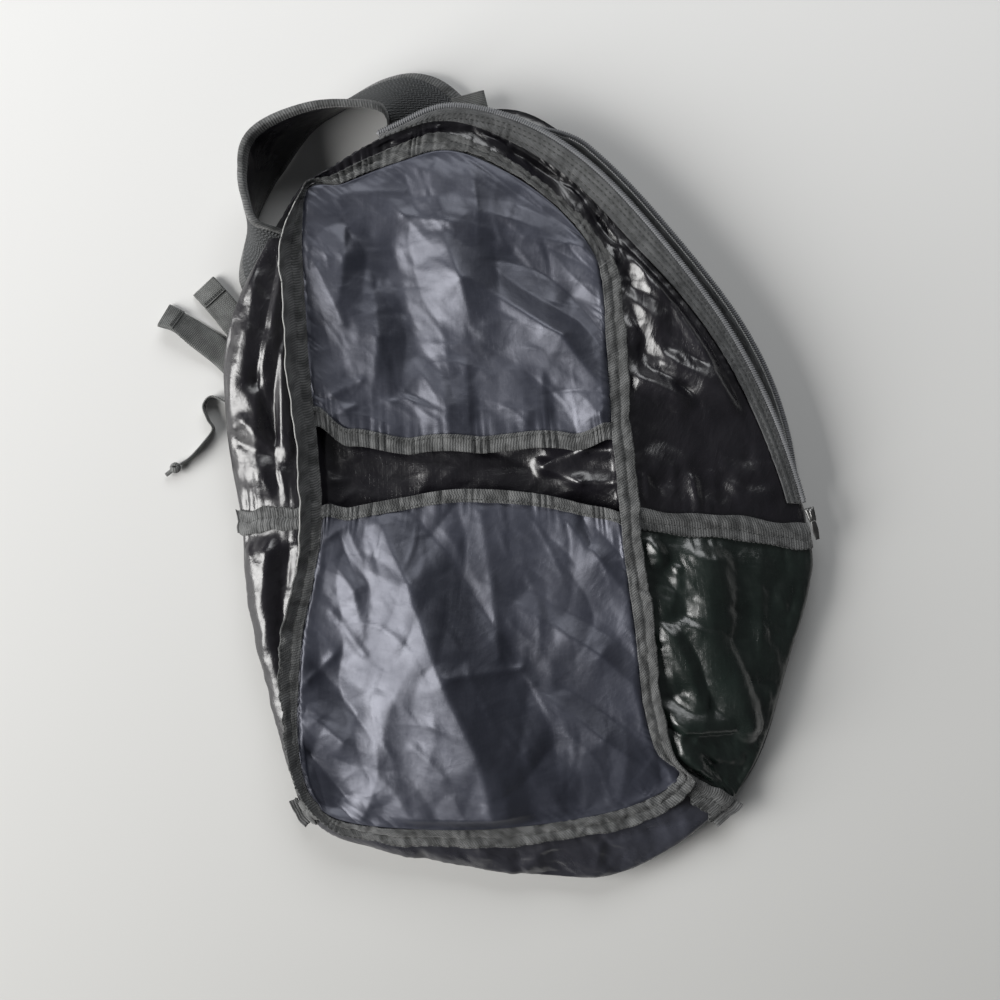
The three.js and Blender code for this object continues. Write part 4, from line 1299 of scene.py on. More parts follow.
@dataclass(frozen=True)
class CoatedCloth:
    """Thin coated nylon: fine crinkles, a weave and a glossy coat."""

    name: str
    colour: Colour
    light: Colour
    roughness: float
    crinkle: float = 0.17
    weave: float = 0.009
    gleam: Colour = (1.0, 1.0, 1.0)
    gloss: float = 0.9

    def build(self, effects: Effects) -> Paint:
        """The material, from the shared effects."""
        m = Material(self.name, self.roughness)
        t = m.tree
        wear = m.effect(effects.wear, size=38.0)
        crinkle = m.effect(effects.crinkle, size=7.0)
        weave = m.effect(effects.weave, thread=0.42, grid=2.6)
        colour = t.mix(t.bright(wear.outputs["Tone"], 0.3, 0.7), (*self.colour, 1), (*self.light, 1))
        colour = t.mix(t.math("MULTIPLY", weave.outputs["Threads"], 0.22), colour, (*self.light, 1))
        # Where a piece carries a tint, its colour goes towards a paler blue grey: on the base cloth
        # partly its own blue grey, partly a painted sheen.
        tint = t.node("ShaderNodeAttribute", attribute_name="tint").outputs["Fac"]
        colour = t.mix(tint, colour, (0.055, 0.058, 0.075, 1))
        lint_and_edge_highlight = t.math("MULTIPLY", wear.outputs["Lint"], 0.05)
        t.link(t.mix(lint_and_edge_highlight, colour, (0.5, 0.5, 0.5, 1)), m.shader.inputs["Base Color"])
        sheen = crinkle.outputs["Sheen"]
        rough = t.bright(sheen, 0.3, 0.7, self.roughness - 0.05, self.roughness + 0.08)
        t.link(rough, m.shader.inputs["Roughness"])
        normal = m.bump(crinkle.outputs["Height"], self.crinkle)
        t.link(m.bump(weave.outputs["Height"], self.weave, normal), m.shader.inputs["Normal"])
        m.shader.inputs["Specular IOR Level"].default_value = self.gloss
        m.shader.inputs["Specular Tint"].default_value = (*self.gleam, 1)
        return m.made


@dataclass(frozen=True)
class WovenTape:
    """Matt tape or webbing with ribs across it."""

    name: str
    colour: Colour
    light: Colour
    rib: float = 0.9
    thread: float = 0.5
    depth: float = 0.07
    roughness: float = 0.78

    def build(self, effects: Effects) -> Paint:
        """The material, from the shared effects."""
        m = Material(self.name, self.roughness)
        t = m.tree
        ribs = m.effect(effects.ribs, rib=self.rib, thread=self.thread)
        wear = m.effect(effects.wear, size=9.0)
        colour = t.mix(t.bright(ribs.outputs["Height"], -2.2, 2.2), (*self.colour, 1), (*self.light, 1))
        fleck = t.math("MULTIPLY", t.bright(ribs.outputs["Fleck"], 0.5, 0.72), 0.4)
        colour = t.mix(fleck, colour, (*self.light, 1))
        tone = t.math("MULTIPLY", t.bright(wear.outputs["Tone"], 0.42, 0.6), 0.75)
        t.link(t.mix(tone, colour, (*self.colour, 1)), m.shader.inputs["Base Color"])
        t.link(m.bump(ribs.outputs["Height"], self.depth), m.shader.inputs["Normal"])
        m.shader.inputs["Sheen Weight"].default_value = 0.25
        m.shader.inputs["Sheen Roughness"].default_value = 0.5
        return m.made


@dataclass(frozen=True)
class SpacerMesh:
    """Knitted mesh with slanted ribs and open cells."""

    name: str
    colour: Colour
    light: Colour

    def build(self, effects: Effects) -> Paint:
        """The material: slanted waves that turn at the middle of the strap, and cells between."""
        m = Material(self.name, 0.85)
        t = m.tree
        parts = t.node("ShaderNodeSeparateXYZ")
        t.link(m.place, parts.inputs[0])
        slant = t.math("MULTIPLY_ADD", t.math("PINGPONG", parts.outputs[1], 2.2), 1.1, parts.outputs[0])
        rib = t.math("SINE", t.math("MULTIPLY", slant, math.tau / 2.1))
        cell = t.math("SINE", t.math("MULTIPLY", parts.outputs[1], math.tau / 1.1))
        height = t.math("MULTIPLY_ADD", cell, 0.4, rib)
        wear = m.effect(effects.wear, size=20.0)
        colour = t.mix(t.bright(height, -1.1, 1.1), (*self.colour, 1), (*self.light, 1))
        tone = t.math("MULTIPLY", wear.outputs["Tone"], 0.3)
        t.link(t.mix(tone, colour, (*self.colour, 1)), m.shader.inputs["Base Color"])
        t.link(m.bump(height, 0.3), m.shader.inputs["Normal"])
        return m.made


@dataclass(frozen=True)
class Moulded:
    """Plain moulded or metal surface with fine scuffs."""

    name: str
    colour: Colour
    light: Colour
    roughness: float
    metallic: float = 0.0

    def build(self, effects: Effects) -> Paint:
        """The material, from the shared effects."""
        m = Material(self.name, self.roughness)
        t = m.tree
        m.place = t.place_in_mm()
        wear = m.effect(effects.wear, size=6.0)
        tone = wear.outputs["Tone"]
        t.link(t.mix(tone, (*self.colour, 1), (*self.light, 1)), m.shader.inputs["Base Color"])
        rough = t.bright(tone, 0.3, 0.7, self.roughness - 0.06, self.roughness + 0.1)
        t.link(rough, m.shader.inputs["Roughness"])
        m.shader.inputs["Metallic"].default_value = self.metallic
        return m.made


class Finish(Enum):
    """The finishes of the bag, each with a short name."""

    RIPSTOP = "ripstop"
    RIPSTOP_GREEN = "ripstop_green"
    LINING = "lining"
    TAPE = "tape"
    ZIP_TAPE = "zip_tape"
    ZIP_COIL = "zip_coil"
    STRAP_MESH = "strap_mesh"
    WEBBING = "webbing"
    METAL = "metal"
    PLASTIC = "plastic"


class Wardrobe:
    """All materials, built once."""

    def __init__(self) -> None:
        """Build every finish."""
        effects = Effects()
        finishes = {
            Finish.RIPSTOP: CoatedCloth(
                "ripstop_finish", (0.005, 0.0045, 0.0065), (0.014, 0.013, 0.017), roughness=0.285
            ),
            Finish.RIPSTOP_GREEN: CoatedCloth(
                "ripstop_green_finish", (0.004, 0.0075, 0.006), (0.01, 0.017, 0.014), roughness=0.29
            ),
            Finish.LINING: CoatedCloth(
                "lining_finish",
                (0.019, 0.021, 0.03),
                (0.035, 0.038, 0.053),
                roughness=0.45,
                crinkle=0.08,
                weave=0.008,
                gleam=(0.86, 0.88, 1.0),
                gloss=0.95,
            ),
            Finish.TAPE: WovenTape(
                "tape_finish",
                (0.014, 0.015, 0.015),
                (0.19, 0.194, 0.194),
                rib=1.5,
                thread=0.9,
                depth=0.09,
            ),
            Finish.ZIP_TAPE: WovenTape(
                "zip_tape_finish",
                (0.045, 0.047, 0.048),
                (0.17, 0.174, 0.177),
                rib=0.75,
                thread=0.7,
                depth=0.09,
            ),
            Finish.ZIP_COIL: Moulded(
                "coil_finish", (0.13, 0.134, 0.142), (0.22, 0.225, 0.235), roughness=0.38
            ),
            Finish.STRAP_MESH: SpacerMesh("strap_mesh_finish", (0.03, 0.032, 0.034), (0.1, 0.105, 0.108)),
            Finish.WEBBING: WovenTape(
                "webbing_finish", (0.07, 0.073, 0.07), (0.2, 0.205, 0.2), rib=1.0, thread=1.3, depth=0.12
            ),
            Finish.METAL: Moulded(
                "metal_finish", (0.12, 0.12, 0.12), (0.22, 0.22, 0.215), roughness=0.36, metallic=1.0
            ),
            Finish.PLASTIC: Moulded(
                "plastic_finish", (0.015, 0.015, 0.017), (0.025, 0.025, 0.027), roughness=0.45
            ),
        }
        self.materials = {finish: spec.build(effects) for finish, spec in finishes.items()}
        thread = WovenTape("thread_finish", (0.03, 0.032, 0.031), (0.07, 0.073, 0.071), 0.5, 0.5, 0.02)
        self.thread = thread.build(effects)
        # Pale material for the standing edge of the left tape: a painted highlight where the edge catches
        # the window light.
        self.lint_and_edge_highlight = Moulded("painted_edge_highlight_finish", (0.3, 0.3, 0.29), (0.46, 0.46, 0.45), 0.8).build(effects)

    def __getitem__(self, finish: Finish) -> Paint:
        """The material of a finish."""
        return self.materials[finish]


@dataclass
class Part:
    wardrobe: Wardrobe

    def piece(
        self,
        name: str,
        data: MeshData,
        finish: Finish,
        nodes: Sequence[str] = (),
        material: Paint | None = None,
    ) -> Thing:
        """A finished piece that rides on the bag.

        Args:
            name: its name.
            data: its mesh.
            finish: the finish that it takes its material from.
            nodes: the solids that it stands for.
            material: another material than the finish's own.

        Returns:
            The object.
        """
        made = data.object(name, material or self.wardrobe[finish])
        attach(made, "root")
        finish.value
        if nodes:
            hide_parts(*nodes)
        triangles = sum(len(f) * (f.shape[1] - 2) for f in data.faces)
        log.info("%s: %d triangles", name, triangles)
        return made

    def sewn(self, name: str, rows: Sequence[MeshData], finish: Finish = Finish.TAPE) -> None:
        """A piece of all these rows of stitches."""
        self.piece(name, MeshData.joined(rows), finish, material=self.wardrobe.thread)

    def sheet(self, made: Thing, data: MeshData, held: str, rests_on: Sequence[str]) -> None:
        """Work out a piece's cut, a little longer than the lengths walked over it, and its area; neither
        is kept.
        """
        size = (data.flat.max(axis=0) - data.flat.min(axis=0)) * MM * CUT_ALLOWANCE
        mesh = made.data
        area = np.zeros(len(mesh.polygons))
        mesh.polygons.foreach_get("area", area)
        float(size[0])
        float(size[1])
        list(rests_on)
        float(min(area.sum() / 2, size[0] * size[1]))


# Distance walked along the front seam at each station, for gathers that tape and cloth share
SEAM_STEPS = np.linspace(-4, STATIONS + 8, 1601)
SEAM_WALK = arc_lengths(seam_point(SEAM_STEPS), 0)
# How strongly the front seam is gathered at each station
GATHER = Table(
    "amount",
    *[(a,) for a in (0.4, 0.25, 0.3, 1.5, 2.4, 2.0, 1.2, 0.9, 0.9, 0.7, 0.5, 0.5, 0.6, 0.6)],
    *[(a,) for a in (0.55, 0.5, 0.7, 0.8, 0.6, 0.6, 0.6, 0.6, 0.7, 0.7, 0.5, 0.5, 0.5, 0.5)],
)


def seam_walk(station: Array) -> Array:
    """Distance walked along the front seam to a station."""
    return np.interp(station, SEAM_STEPS, SEAM_WALK)


def seam_gathers(station: Array) -> Array:
    """Height of the gathers along the front seam, in millimetres."""
    amount = np.maximum(GATHER.around("amount", station), 0)
    return amount * (gathers(seam_walk(station), 5, 6.0) - 0.4)


@dataclass
class SideCloth(Part):
    """The four pieces of side cloth round the front panel."""

    thickness: float = 0.35

    def surface(self, start: float, stop: float, rows: int, columns: int) -> Array:
        """A grid of the side cloth with all its folds.

        Args:
            start: first station.
            stop: last station.
            rows: steps along.
            columns: steps from the seam to the edge.

        Returns:
            The points in millimetres.
        """
        station, across = lattice(np.linspace(start, stop, rows), np.linspace(0, 1, columns))
        first = share_of(station, 0.5)
        share = first + (1 - first) * across
        base = side_point(station, share)
        return base + normals(base) * self.relief(station, share, base)[..., None]

    def relief(self, station: Array, share: Array, base: Array) -> Array:
        """Height of all folds over the plain side cloth.

        The named folds, facets and creases fade out towards the binding tapes and the edge, while
        gathers stand at each seam and fade away from it.
        """
        x, y = base[..., 0], base[..., 1]
        away = share / MIDDLE_SHARE * np.linalg.norm(
            section_points(station)[0] - section_points(station)[1], axis=-1
        )
        free = ease(away - 6, 12) * (0.12 + 0.88 * ease(OUTLINE_SHARE + 0.04 - share, 0.16))
        seams = np.ones_like(free)
        crossing = np.zeros_like(free)
        walk = seam_walk(station)
        for seamed in (LEFT_SIDE, RIGHT_SIDE, BASE_RIGHT, BASE_LEFT, STATIONS):
            reach = np.abs(walk - seam_walk(seamed))
            seams *= ease(reach - 5, 14)
            near = (0.75 + 1.1 * ease(reach - 5, 4)) * bell(reach, 14)
            crossing = np.maximum(crossing, near)
        tight = free * (0.04 + 0.96 * seams)
        large = 0.6 * fold_height(x, y, GUSSET_FOLDS)
        for slope in SIDE_SLOPES:
            large += ridge_height(x, y, slope)
        large += np.max([ridge_height(x, y, ridge) for ridge in SIDE_RIDGES], axis=0)
        right = ease(x - 40, 30)
        lie = np.where(y < -6, 1.0, 0.0)
        rough = 2.0 * crumple(x, y, 31, 44, -62, 1.9) - 1.5 * crumple(x, y, 32, 26, -40, 1.7)
        rough += 0.5 * crumple(x, y, 33, 13, -50, 2.2) + 0.08 * crumple(x, y, 34, 6, -20, 1.6)
        fine = 0.8 * creases(x, y, 71, 360, 15, 1.9, -50, 100, 1.1)
        fine += 0.18 * creases(x, y, 72, 600, 7, 1.0)
        smooth = 1 - 0.85 * np.exp(-(((x - 95) / 42) ** 2) - ((y - 32) / 20) ** 2)
        smooth = smooth * (1 - 0.45 * right * lie) * np.where(y < -176, 0.6, 1.0)
        handled = 1 - 0.65 * ease(-80 - x, 20)
        height = large + smooth * handled * (rough + fine)
        limit = np.where(height > 0, 9, 6)
        height = tight * limit * np.tanh(height / limit)
        height += free * crossing * (gathers(away, 9, 8.5) - 0.5) * ease(away - 8, 10)
        height += seam_gathers(station) * bell(away, 16) * ease(away, 2)
        zipped = ease(station - (ZIP_START - 0.6), 0.4) * ease(RIGHT_SIDE + 0.1 - station, 0.3)
        from_zip = np.maximum(share_back(station, zip_reach(station)) - share, 0) * 110
        height *= 1 - 0.97 * zipped * (1 - ease(from_zip - 1, 10))
        height += zipped * bell(from_zip, 9) * 0.9 * (gathers(walk, 13, 9) - 0.5)
        return height

    def build(self) -> None:
        """Make the four pieces."""
        dark, green = Finish.RIPSTOP, Finish.RIPSTOP_GREEN
        spans = [
            ("side_cloth_upper", "gusset_upper", LEFT_SIDE, RIGHT_SIDE, 370, 82, dark),
            ("side_cloth_right", "gusset_right_lower", RIGHT_SIDE, BASE_RIGHT, 150, 96, green),
            ("base_cloth", "bottom_panel", BASE_RIGHT, BASE_LEFT, 180, 42, dark),
            ("side_cloth_left", "gusset_left_lower", BASE_LEFT, STATIONS, 150, 52, dark),
        ]
        for name, node, start, stop, rows, columns, finish in spans:
            grid = self.surface(start, stop, rows, columns)
            # Tint on the base cloth near x 80 and below y -174: partly its blue grey cloth, partly a
            # painted sheen.
            pale = (0.3 + 0.7 * bell(grid[..., 0] - 80, 27)) * ease(-174 - grid[..., 1], 6)
            data = slab(grid, self.thickness, {"tint": pale})
            made = self.piece(name, data, finish, [node])
            self.sheet(made, data, "gathered", ["back_cloth", "seam_tape"])


@dataclass
class FrontCloth(Part):
    """The front panel, which shows only between the two pocket sheets."""

    thickness: float = 0.35

    def build(self) -> None:
        """Make the panel with its folds in the gap."""
        rise = [np.linspace(0.004, 0.55, 18), np.linspace(0.56, 0.79, 68), np.linspace(0.804, 0.996, 14)]
        u, v = lattice(np.linspace(0.004, 0.996, 110), np.concatenate(rise))
        grid = panel_point(u, v)
        x, y = grid[..., 0], grid[..., 1]
        sides = ease(u, 0.06) * ease(1 - u, 0.06) * ease(v, 0.04) * ease(1 - v, 0.04)
        gap = ease(v - 0.57, 0.06) * ease(0.8 - v, 0.05)
        height = fold_height(x, y, MIDDLE_FOLDS) + 1.4 * (facets(x, y, 41, 16) - 0.4)
        height += 0.9 * creases(x, y, 43, 260, 9, 1.8, 10, 70)
        grid = grid + normals(grid) * (sides * (gap * (height + 1.8) - 9.0))[..., None]
        data = slab(grid, self.thickness)
        made = self.piece("front_cloth", data, Finish.RIPSTOP, ["front_panel"])
        self.sheet(made, data, "stretched", ["seam_tape"])


@dataclass
class PocketSheet(Part):
    """One blue grey pocket back with the tape over its free edge."""

    name: str = ""
    nodes: tuple[str, str] = ("", "")
    edge: Table | None = None
    at_top: bool = False
    folds: Table | None = None
    ridges: Sequence[Table] = ()
    seed: int = 0
    lie: float = -40.0
    thickness: float = 0.3
    seat: float = 1.6
    hem_width: float = 9.0
    span: float = 190.0

    def limits(self, u: Array) -> tuple[Array, Array]:
        """Lower and upper edge of the sheet, as shares up the panel."""
        line = hem(self.edge, u)
        return (np.full_like(u, 0.003), line) if self.at_top else (line, np.full_like(u, 0.997))

    def relief(self, u: Array, share: Array, base: Array) -> Array:
        """Named folds, facets and creases that fade at the seams, with gathers along the hem."""
        x, y = base[..., 0], base[..., 1]
        from_hem = (1 - share if self.at_top else share) * (240 if self.at_top else 120)
        from_seam = np.minimum(np.minimum(u, 1 - u) * 195, (share if self.at_top else 1 - share) * 150)
        inside = ease(from_seam, 11)
        open_edge = 0.2 + 0.8 * ease(from_hem, 18)
        height = fold_height(x, y, self.folds, 1.5)
        for ridge in self.ridges:
            height += ridge_height(x, y, ridge)
        height += 0.9 * crumple(x, y, self.seed, 64, self.lie, 1.9)
        height -= 0.5 * crumple(x, y, self.seed + 1, 38, self.lie - 25, 2.0)
        height += 0.12 * crumple(x, y, self.seed + 2, 18, self.lie + 30, 1.8)
        height += 0.04 * crumple(x, y, self.seed + 3, 9, self.lie, 1.4)
        height += 0.75 * creases(x, y, self.seed + 4, 120, 17, 1.9, self.lie, 90, 1.05)
        height += 0.2 * creases(x, y, self.seed + 7, 220, 9, 1.1, self.lie, 180, 1.1)
        height = inside * open_edge * height
        pull = bell(from_hem, 15) * ease(from_seam, 10)
        height += 1.5 * pull * (gathers(u * self.span, self.seed + 5, 7.5) - 0.45)
        edge = bell(from_seam, 10) * ease(from_seam, 3)
        height += 1.2 * edge * (gathers(x * 0.7 + y, self.seed + 6, 7) - 0.45)
        return height

    def surface(self, u: Array, share: Array) -> Array:
        """Points of the sheet at shares across and up it."""
        low, high = self.limits(u)
        base = panel_point(u, low + (high - low) * share)
        seat = self.seat * ease(np.minimum(np.minimum(u, 1 - u) * self.span, 8), 8)
        base[..., 2] += seat
        return base + normals(base) * self.relief(u, share, base)[..., None]

    def build(self) -> None:
        """Make the sheet, its tape and the tape's stitches."""
        rows, columns = (172, 182) if self.at_top else (164, 154)
        grid = self.surface(*lattice(np.linspace(0, 1, rows), np.linspace(0, 1, columns)))
        data = slab(grid, self.thickness)
        made = self.piece(self.name, data, Finish.LINING, [self.nodes[0]])
        self.sheet(made, data, "laid", ["front_cloth"])
        self.build_hem()

    def build_hem(self) -> None:
        """The tape folded over the free edge, gathered with the sheet."""
        u, across = lattice(np.linspace(0.004, 0.996, 300), np.linspace(0, 1, 11))
        low, high = self.limits(u)
        width = self.hem_width / (0.85 * BAG_HEIGHT) / (high - low)
        share = 1 - width * (1 - across) + 0.1 * width if self.at_top else width * across - 0.1 * width
        grid = self.surface(u, share)
        ripple = 1.2 * (gathers(u * self.span, self.seed + 5, 7.5) - 0.45)
        lifted = 0.9 + 0.35 * ripple
        grid = grid + UP * lifted[..., None]
        data = slab(grid, 0.75)
        self.piece(self.name + "_hem", data, Finish.TAPE, [self.nodes[1]])
        out = normals(grid)
        line = 2 if self.at_top else 8
        row = stitch_row(grid[:, line] + out[:, line] * 0.42, out[:, line], STITCH_PITCH, THREAD_RADIUS)
        self.sewn(self.name + "_hem_stitches", [row])


@dataclass
class SeamTape(Part):
    """Binding tape round the front seam and across the side cloth."""

    thickness: float = 0.8

    def strip(self, start: float, stop: float, rows: int, columns: int = 17) -> tuple[Array, Array]:
        """Grid of the tape over the front seam between two stations, and its outward directions."""
        station, across = lattice(np.linspace(start, stop, rows), np.linspace(-0.1, 1, columns))
        walk = seam_walk(station)
        drift = 0.55 * np.sin(walk / 11) + 0.35 * np.sin(walk / 4.7 + 2 * across)
        drift += 0.2 * np.sin(walk / 2.1)
        folded = 0.86 - 0.42 * ease(station - 5.7, 0.9) * ease(TOP_RIGHT + 0.3 - station, 0.9)
        share = share_of(station, tape_reach(station) * across * folded + drift * (0.35 + 0.65 * across))
        out = side_normal(station, np.maximum(share, 0.02))
        ridge = 0.7 * bell(across - 0.2, 0.17) - 0.45 * bell(across - 0.46, 0.05)
        ridge += 0.4 * bell(across - 0.74, 0.15) - 0.3 * ease(across - 0.84, 0.16)
        crinkle = 0.6 * crumple(walk, 10 * across, 97, 11, 80, 1.5)
        gathered = 1.7 * seam_gathers(station) * (0.6 + 0.5 * across)
        seat = 1.2 + 1.1 * np.clip(across, 0, 1) ** 3 + ridge + crinkle + gathered
        place = side_point(station, share) + out * seat[..., None]
        upright = 1 + 1.4 * ease(-90 - place[..., 0], 16) * ease(175 - place[..., 1], 20)
        lift = upright * SEAM.around("lift", station) * TAPE_WIDTH * np.clip(across, 0, 1) ** 1.5
        place[..., 2] += lift + 0.35 * swell(place[..., 0], place[..., 1], 91, 26) * across
        return place, out

    def build(self) -> None:
        """Make the four tapes of the front seam, their stitches, and the tapes across."""
        spans = [
            ("left", BASE_LEFT, STATIONS + TOP_LEFT, 270),
            ("top", TOP_LEFT, TOP_RIGHT, 200),
            ("right", TOP_RIGHT, BASE_RIGHT, 260),
            ("bottom", BASE_RIGHT, BASE_LEFT, 200),
        ]
        stitches = []
        tapes = []
        for side, start, stop, rows in spans:
            grid, out = self.strip(start - 0.02, stop + 0.02, rows)
            tapes.append(slab(grid, self.thickness))
            for line in (8, 15):
                path = grid[:, line] + out[:, line] * 0.45
                stitches.append(stitch_row(path, out[:, line], STITCH_PITCH, THREAD_RADIUS))
        nodes = ["binding_front_" + side for side, *_ in spans]
        self.piece("seam_tape", MeshData.joined(tapes), Finish.TAPE, nodes)
        self.sewn("seam_tape_stitches", stitches)
        self.build_edge()
        for side, station, beyond in (
            ("cross_right", RIGHT_SIDE, 1.5),
            ("cross_left", STATIONS, 1.5),
            ("corner_right", BASE_RIGHT, 5.0),
            ("corner_left", BASE_LEFT, 5.0),
        ):
            self.build_cross(side, station, beyond)

    def build_edge(self) -> None:
        """Pale edge of the tape on the left side, where it stands up into the light: a painted highlight.
        """
        grid, out = self.strip(STATIONS - 0.9, STATIONS + 2.95, 240)
        line = grid[:, -1]
        side = unit(grid[:, -1] - grid[:, -2])
        data = sweep(line, side, np.cross(side, unit(np.gradient(line, axis=0))), oval(0.75, 0.75, 8))
        # The pale edge material is a painted highlight.
        self.piece("seam_tape_edge", data, Finish.TAPE, material=self.wardrobe.lint_and_edge_highlight)

    def build_cross(self, side: str, station: float, beyond: float) -> None:
        """One tape across the side cloth, from the seam tape to beyond the outline."""
        run, across = lattice(np.linspace(0, 1, 120), np.linspace(-1, 1, 13))
        drift = 0.7 * np.sin(run * 11 + station) + 0.4 * np.sin(run * 23 + 2 * across)
        walk = seam_walk(station) + across * TAPE_WIDTH / 2 + drift
        place = np.interp(walk, SEAM_WALK, SEAM_STEPS)
        outer = 0.08
        first = share_of(place, tape_reach(place) * 0.8)
        inside = np.minimum(run / (1 - outer), 1)
        share = first + (OUTLINE_SHARE - first) * inside
        spot = side_point(place, share)
        out = side_normal(place, share)
        away = run * 90
        pleats = 0.25 if side.startswith("corner") else 0.75
        ripple = pleats * (gathers(away, 9, 8.5) - 0.5) * ease(away - 3, 10) * ease(1 - run, 0.1)
        ridge = 0.6 * bell(across + 0.4, 0.4) - 0.4 * bell(across - 0.1, 0.1)
        seat = 1.3 + ripple + ridge + 0.25 * swell(spot[..., 0], spot[..., 1], 95, 20)
        grid = spot + out * seat[..., None]
        over = np.maximum(run - (1 - outer), 0) / outer * beyond
        grid = grid + outward(outline_point, place) * over[..., None]
        data = slab(grid[::-1], self.thickness)
        self.piece("cross_tape_" + side, data, Finish.TAPE, ["binding_" + side])
        rows = [stitch_row(grid[:, k] + out[:, k] * 0.42, out[:, k], STITCH_PITCH, 0.28) for k in (7, 12)]
        self.sewn("cross_stitches_" + side, rows)


@dataclass
class Zip(Part):
    """Both halves of the main zip with their coils, stitches and slider."""

    pitch: float = 1.3
    seat: float = 1.7

    def front_frame(self, across: Array, rows: int) -> tuple[Array, Array, Array]:
        """Grid of the front half: the tape on the side cloth, then out past the outline.

        Args:
            across: offsets in millimetres, negative on the tape and positive on the coil.
            rows: steps along the zip.

        Returns:
            Points, directions out of the tape and level directions out of the bag.
        """
        station, offset = lattice(np.linspace(ZIP_START - 0.35, ZIP_END, rows), across)
        narrow = 0.15 + 0.85 * ease(station - ZIP_START + 0.35, 1.3)
        inner = np.minimum(-offset, 0.9 * zip_reach(station)) * narrow
        share = np.where(offset < 0, share_back(station, np.maximum(inner, 0)), OUTLINE_SHARE)
        place = side_point(station, share)
        up = side_normal(station, share)
        out = outward(outline_point, station)
        place = place + up * self.seat + out * np.maximum(offset, 0)[..., None]
        walk = seam_walk(station)
        wave = 0.9 * (gathers(walk, 13, 9) - 0.5) * ease(-offset, 10)
        return place + up * wave[..., None], up, out

    def build(self) -> None:
        """Make both halves and the slider."""
        across = np.linspace(-12.5, 0.6, 18)
        grid, up, _ = self.front_frame(across, 350)
        ridge = 0.4 * bell(across + 7.4, 1.5) - 0.4 * bell(across + 5.2, 0.8)
        ridge = ridge - 0.4 * bell(across + 9.8, 0.8)
        grid = grid + up * ridge[None, :, None]
        self.piece("zip_tape_outer", slab(grid, 0.7), Finish.ZIP_TAPE, ["zip_tape_front"])
        rows = []
        for offset in (-2.6, -5.2, -9.8):
            k = int(np.argmin(np.abs(across - offset)))
            rows.append(stitch_row(grid[:, k] + up[:, k] * 0.38, up[:, k], 3.1, 0.32))
        self.sewn("zip_stitches", rows, Finish.ZIP_TAPE)
        path, rise, out = self.front_frame(np.array([2.2]), 350)
        self.build_coil("zip_coil_outer", "zip_coil_front", path[:, 0], rise[:, 0], out[:, 0])
        self.build_rear()
        self.build_slider()

    def build_coil(self, name: str, node: str, path: Array, up: Array, out: Array) -> None:
        """A coil: slanted turns of round nylon over a cord.

        Args:
            name: the piece's name.
            node: the solid that it stands for.
            path: its middle line.
            up: direction out of the tape along it.
            out: direction across it.
        """
        length = arc_lengths(path, 0)
        at = np.arange(self.pitch, length[-1] - self.pitch, self.pitch)
        along = unit(read_rows(np.gradient(path, axis=0), length, at))
        side = unit(read_rows(out, length, at) + 0.22 * along)
        rise = unit(read_rows(up, length, at))
        turn = np.linspace(-1, 1, 5)
        bow = np.stack([turn * COIL_WIDTH / 2, np.zeros(5), 0.75 * (1 - turn**4) - 0.2], -1)
        ring = oval(0.78, 0.78, 6)
        tooth = sweep(bow, ACROSS, UP, ring)
        middles = read_rows(path, length, at)
        teeth = scattered(tooth, middles, side, unit(np.cross(rise, side)), rise)
        cord = sweep(path, out, up, oval(2.2, 1.1, 8))
        self.piece(name, MeshData.joined([teeth, cord]), Finish.ZIP_COIL, [node])

    def build_rear(self) -> None:
        """The rear half, which stands along the edge of the back panel."""
        station, across = lattice(np.linspace(ZIP_START + 2, ZIP_END, 300), np.linspace(0, 1, 9))
        inner = -0.8 * ZIP_TAPE_WIDTH
        out = outward(back_point, station)
        tucked = -11.0 * (1 - ease(station - ZIP_START - 2, 0.9))
        grid = back_point(station) + out * (inner * (1 - across) + tucked)[..., None]
        walk = seam_walk(station)
        grid[..., 2] = CLOTH + GAP + 0.6 + ZIP_RISE * across**2 + 0.5 * np.sin(walk / 17) * across
        data = slab(grid, 0.8)
        self.piece("zip_tape_inner", data, Finish.ZIP_TAPE, ["zip_tape_back"])
        path = grid[:, -1] + out[:, -1] * 2.0
        self.build_coil("zip_coil_inner", "zip_coil_back", path, np.tile(UP, (len(path), 1)), out[:, -1])

    def build_slider(self) -> None:
        """The slider: a rounded body that narrows to one end, with a bridge and a pull tab."""
        low, high = (np.array(v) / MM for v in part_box("zip_slider"))
        station = np.array(ZIP_END + 0.02)
        along = unit(outline_run(station))
        side = np.cross(UP, along)
        centre = (low + high) / 2
        steps = np.linspace(0, 1, 12)
        start = centre - along * 12.2
        path = start[None] + along[None] * (1.5 + steps * 8.0)[:, None]
        width = 5.2 - 1.4 * steps**2
        thick = 2.9 * (1 - 0.35 * (2 * steps - 1) ** 4)
        body = sweep(path, side, UP, oval(1, 1, 20, 4.0)[None] * np.stack([width, thick], -1)[:, None])
        bow = np.linspace(-1, 1, 11)
        bridge_path = start[None] + along[None] * (5.2 + 3.4 * bow)[:, None]
        bridge_path[:, 2] += 1.2 + 1.25 * (1 - bow**4)
        lean = unit(np.gradient(bridge_path, axis=0))
        bridge = sweep(bridge_path, side, np.cross(lean, side), oval(1.7, 0.9, 10, 3.0))
        pull = np.linspace(0, 1, 16)
        pull_path = start[None] + along[None] * (9.0 + 11.0 * pull)[:, None]
        pull_path[:, 2] += 0.8 - 2.6 * pull
        spread = 2.4 + 1.1 * np.sin(np.pi * np.clip(pull * 1.1, 0, 1))
        sizes = np.stack([spread, np.full(16, 1.1)], -1)
        tab = sweep(pull_path, side, UP, oval(1, 1, 14, 3.0)[None] * sizes[:, None])
        self.piece("slider", MeshData.joined([body, bridge, tab]), Finish.METAL, ["zip_slider"])


def outline_run(station: Array) -> Array:
    """Level direction along the outline at a station."""
    run = outline_point(station + 0.05) - outline_point(station - 0.05)
    return run * np.array([1.0, 1.0, 0.0])


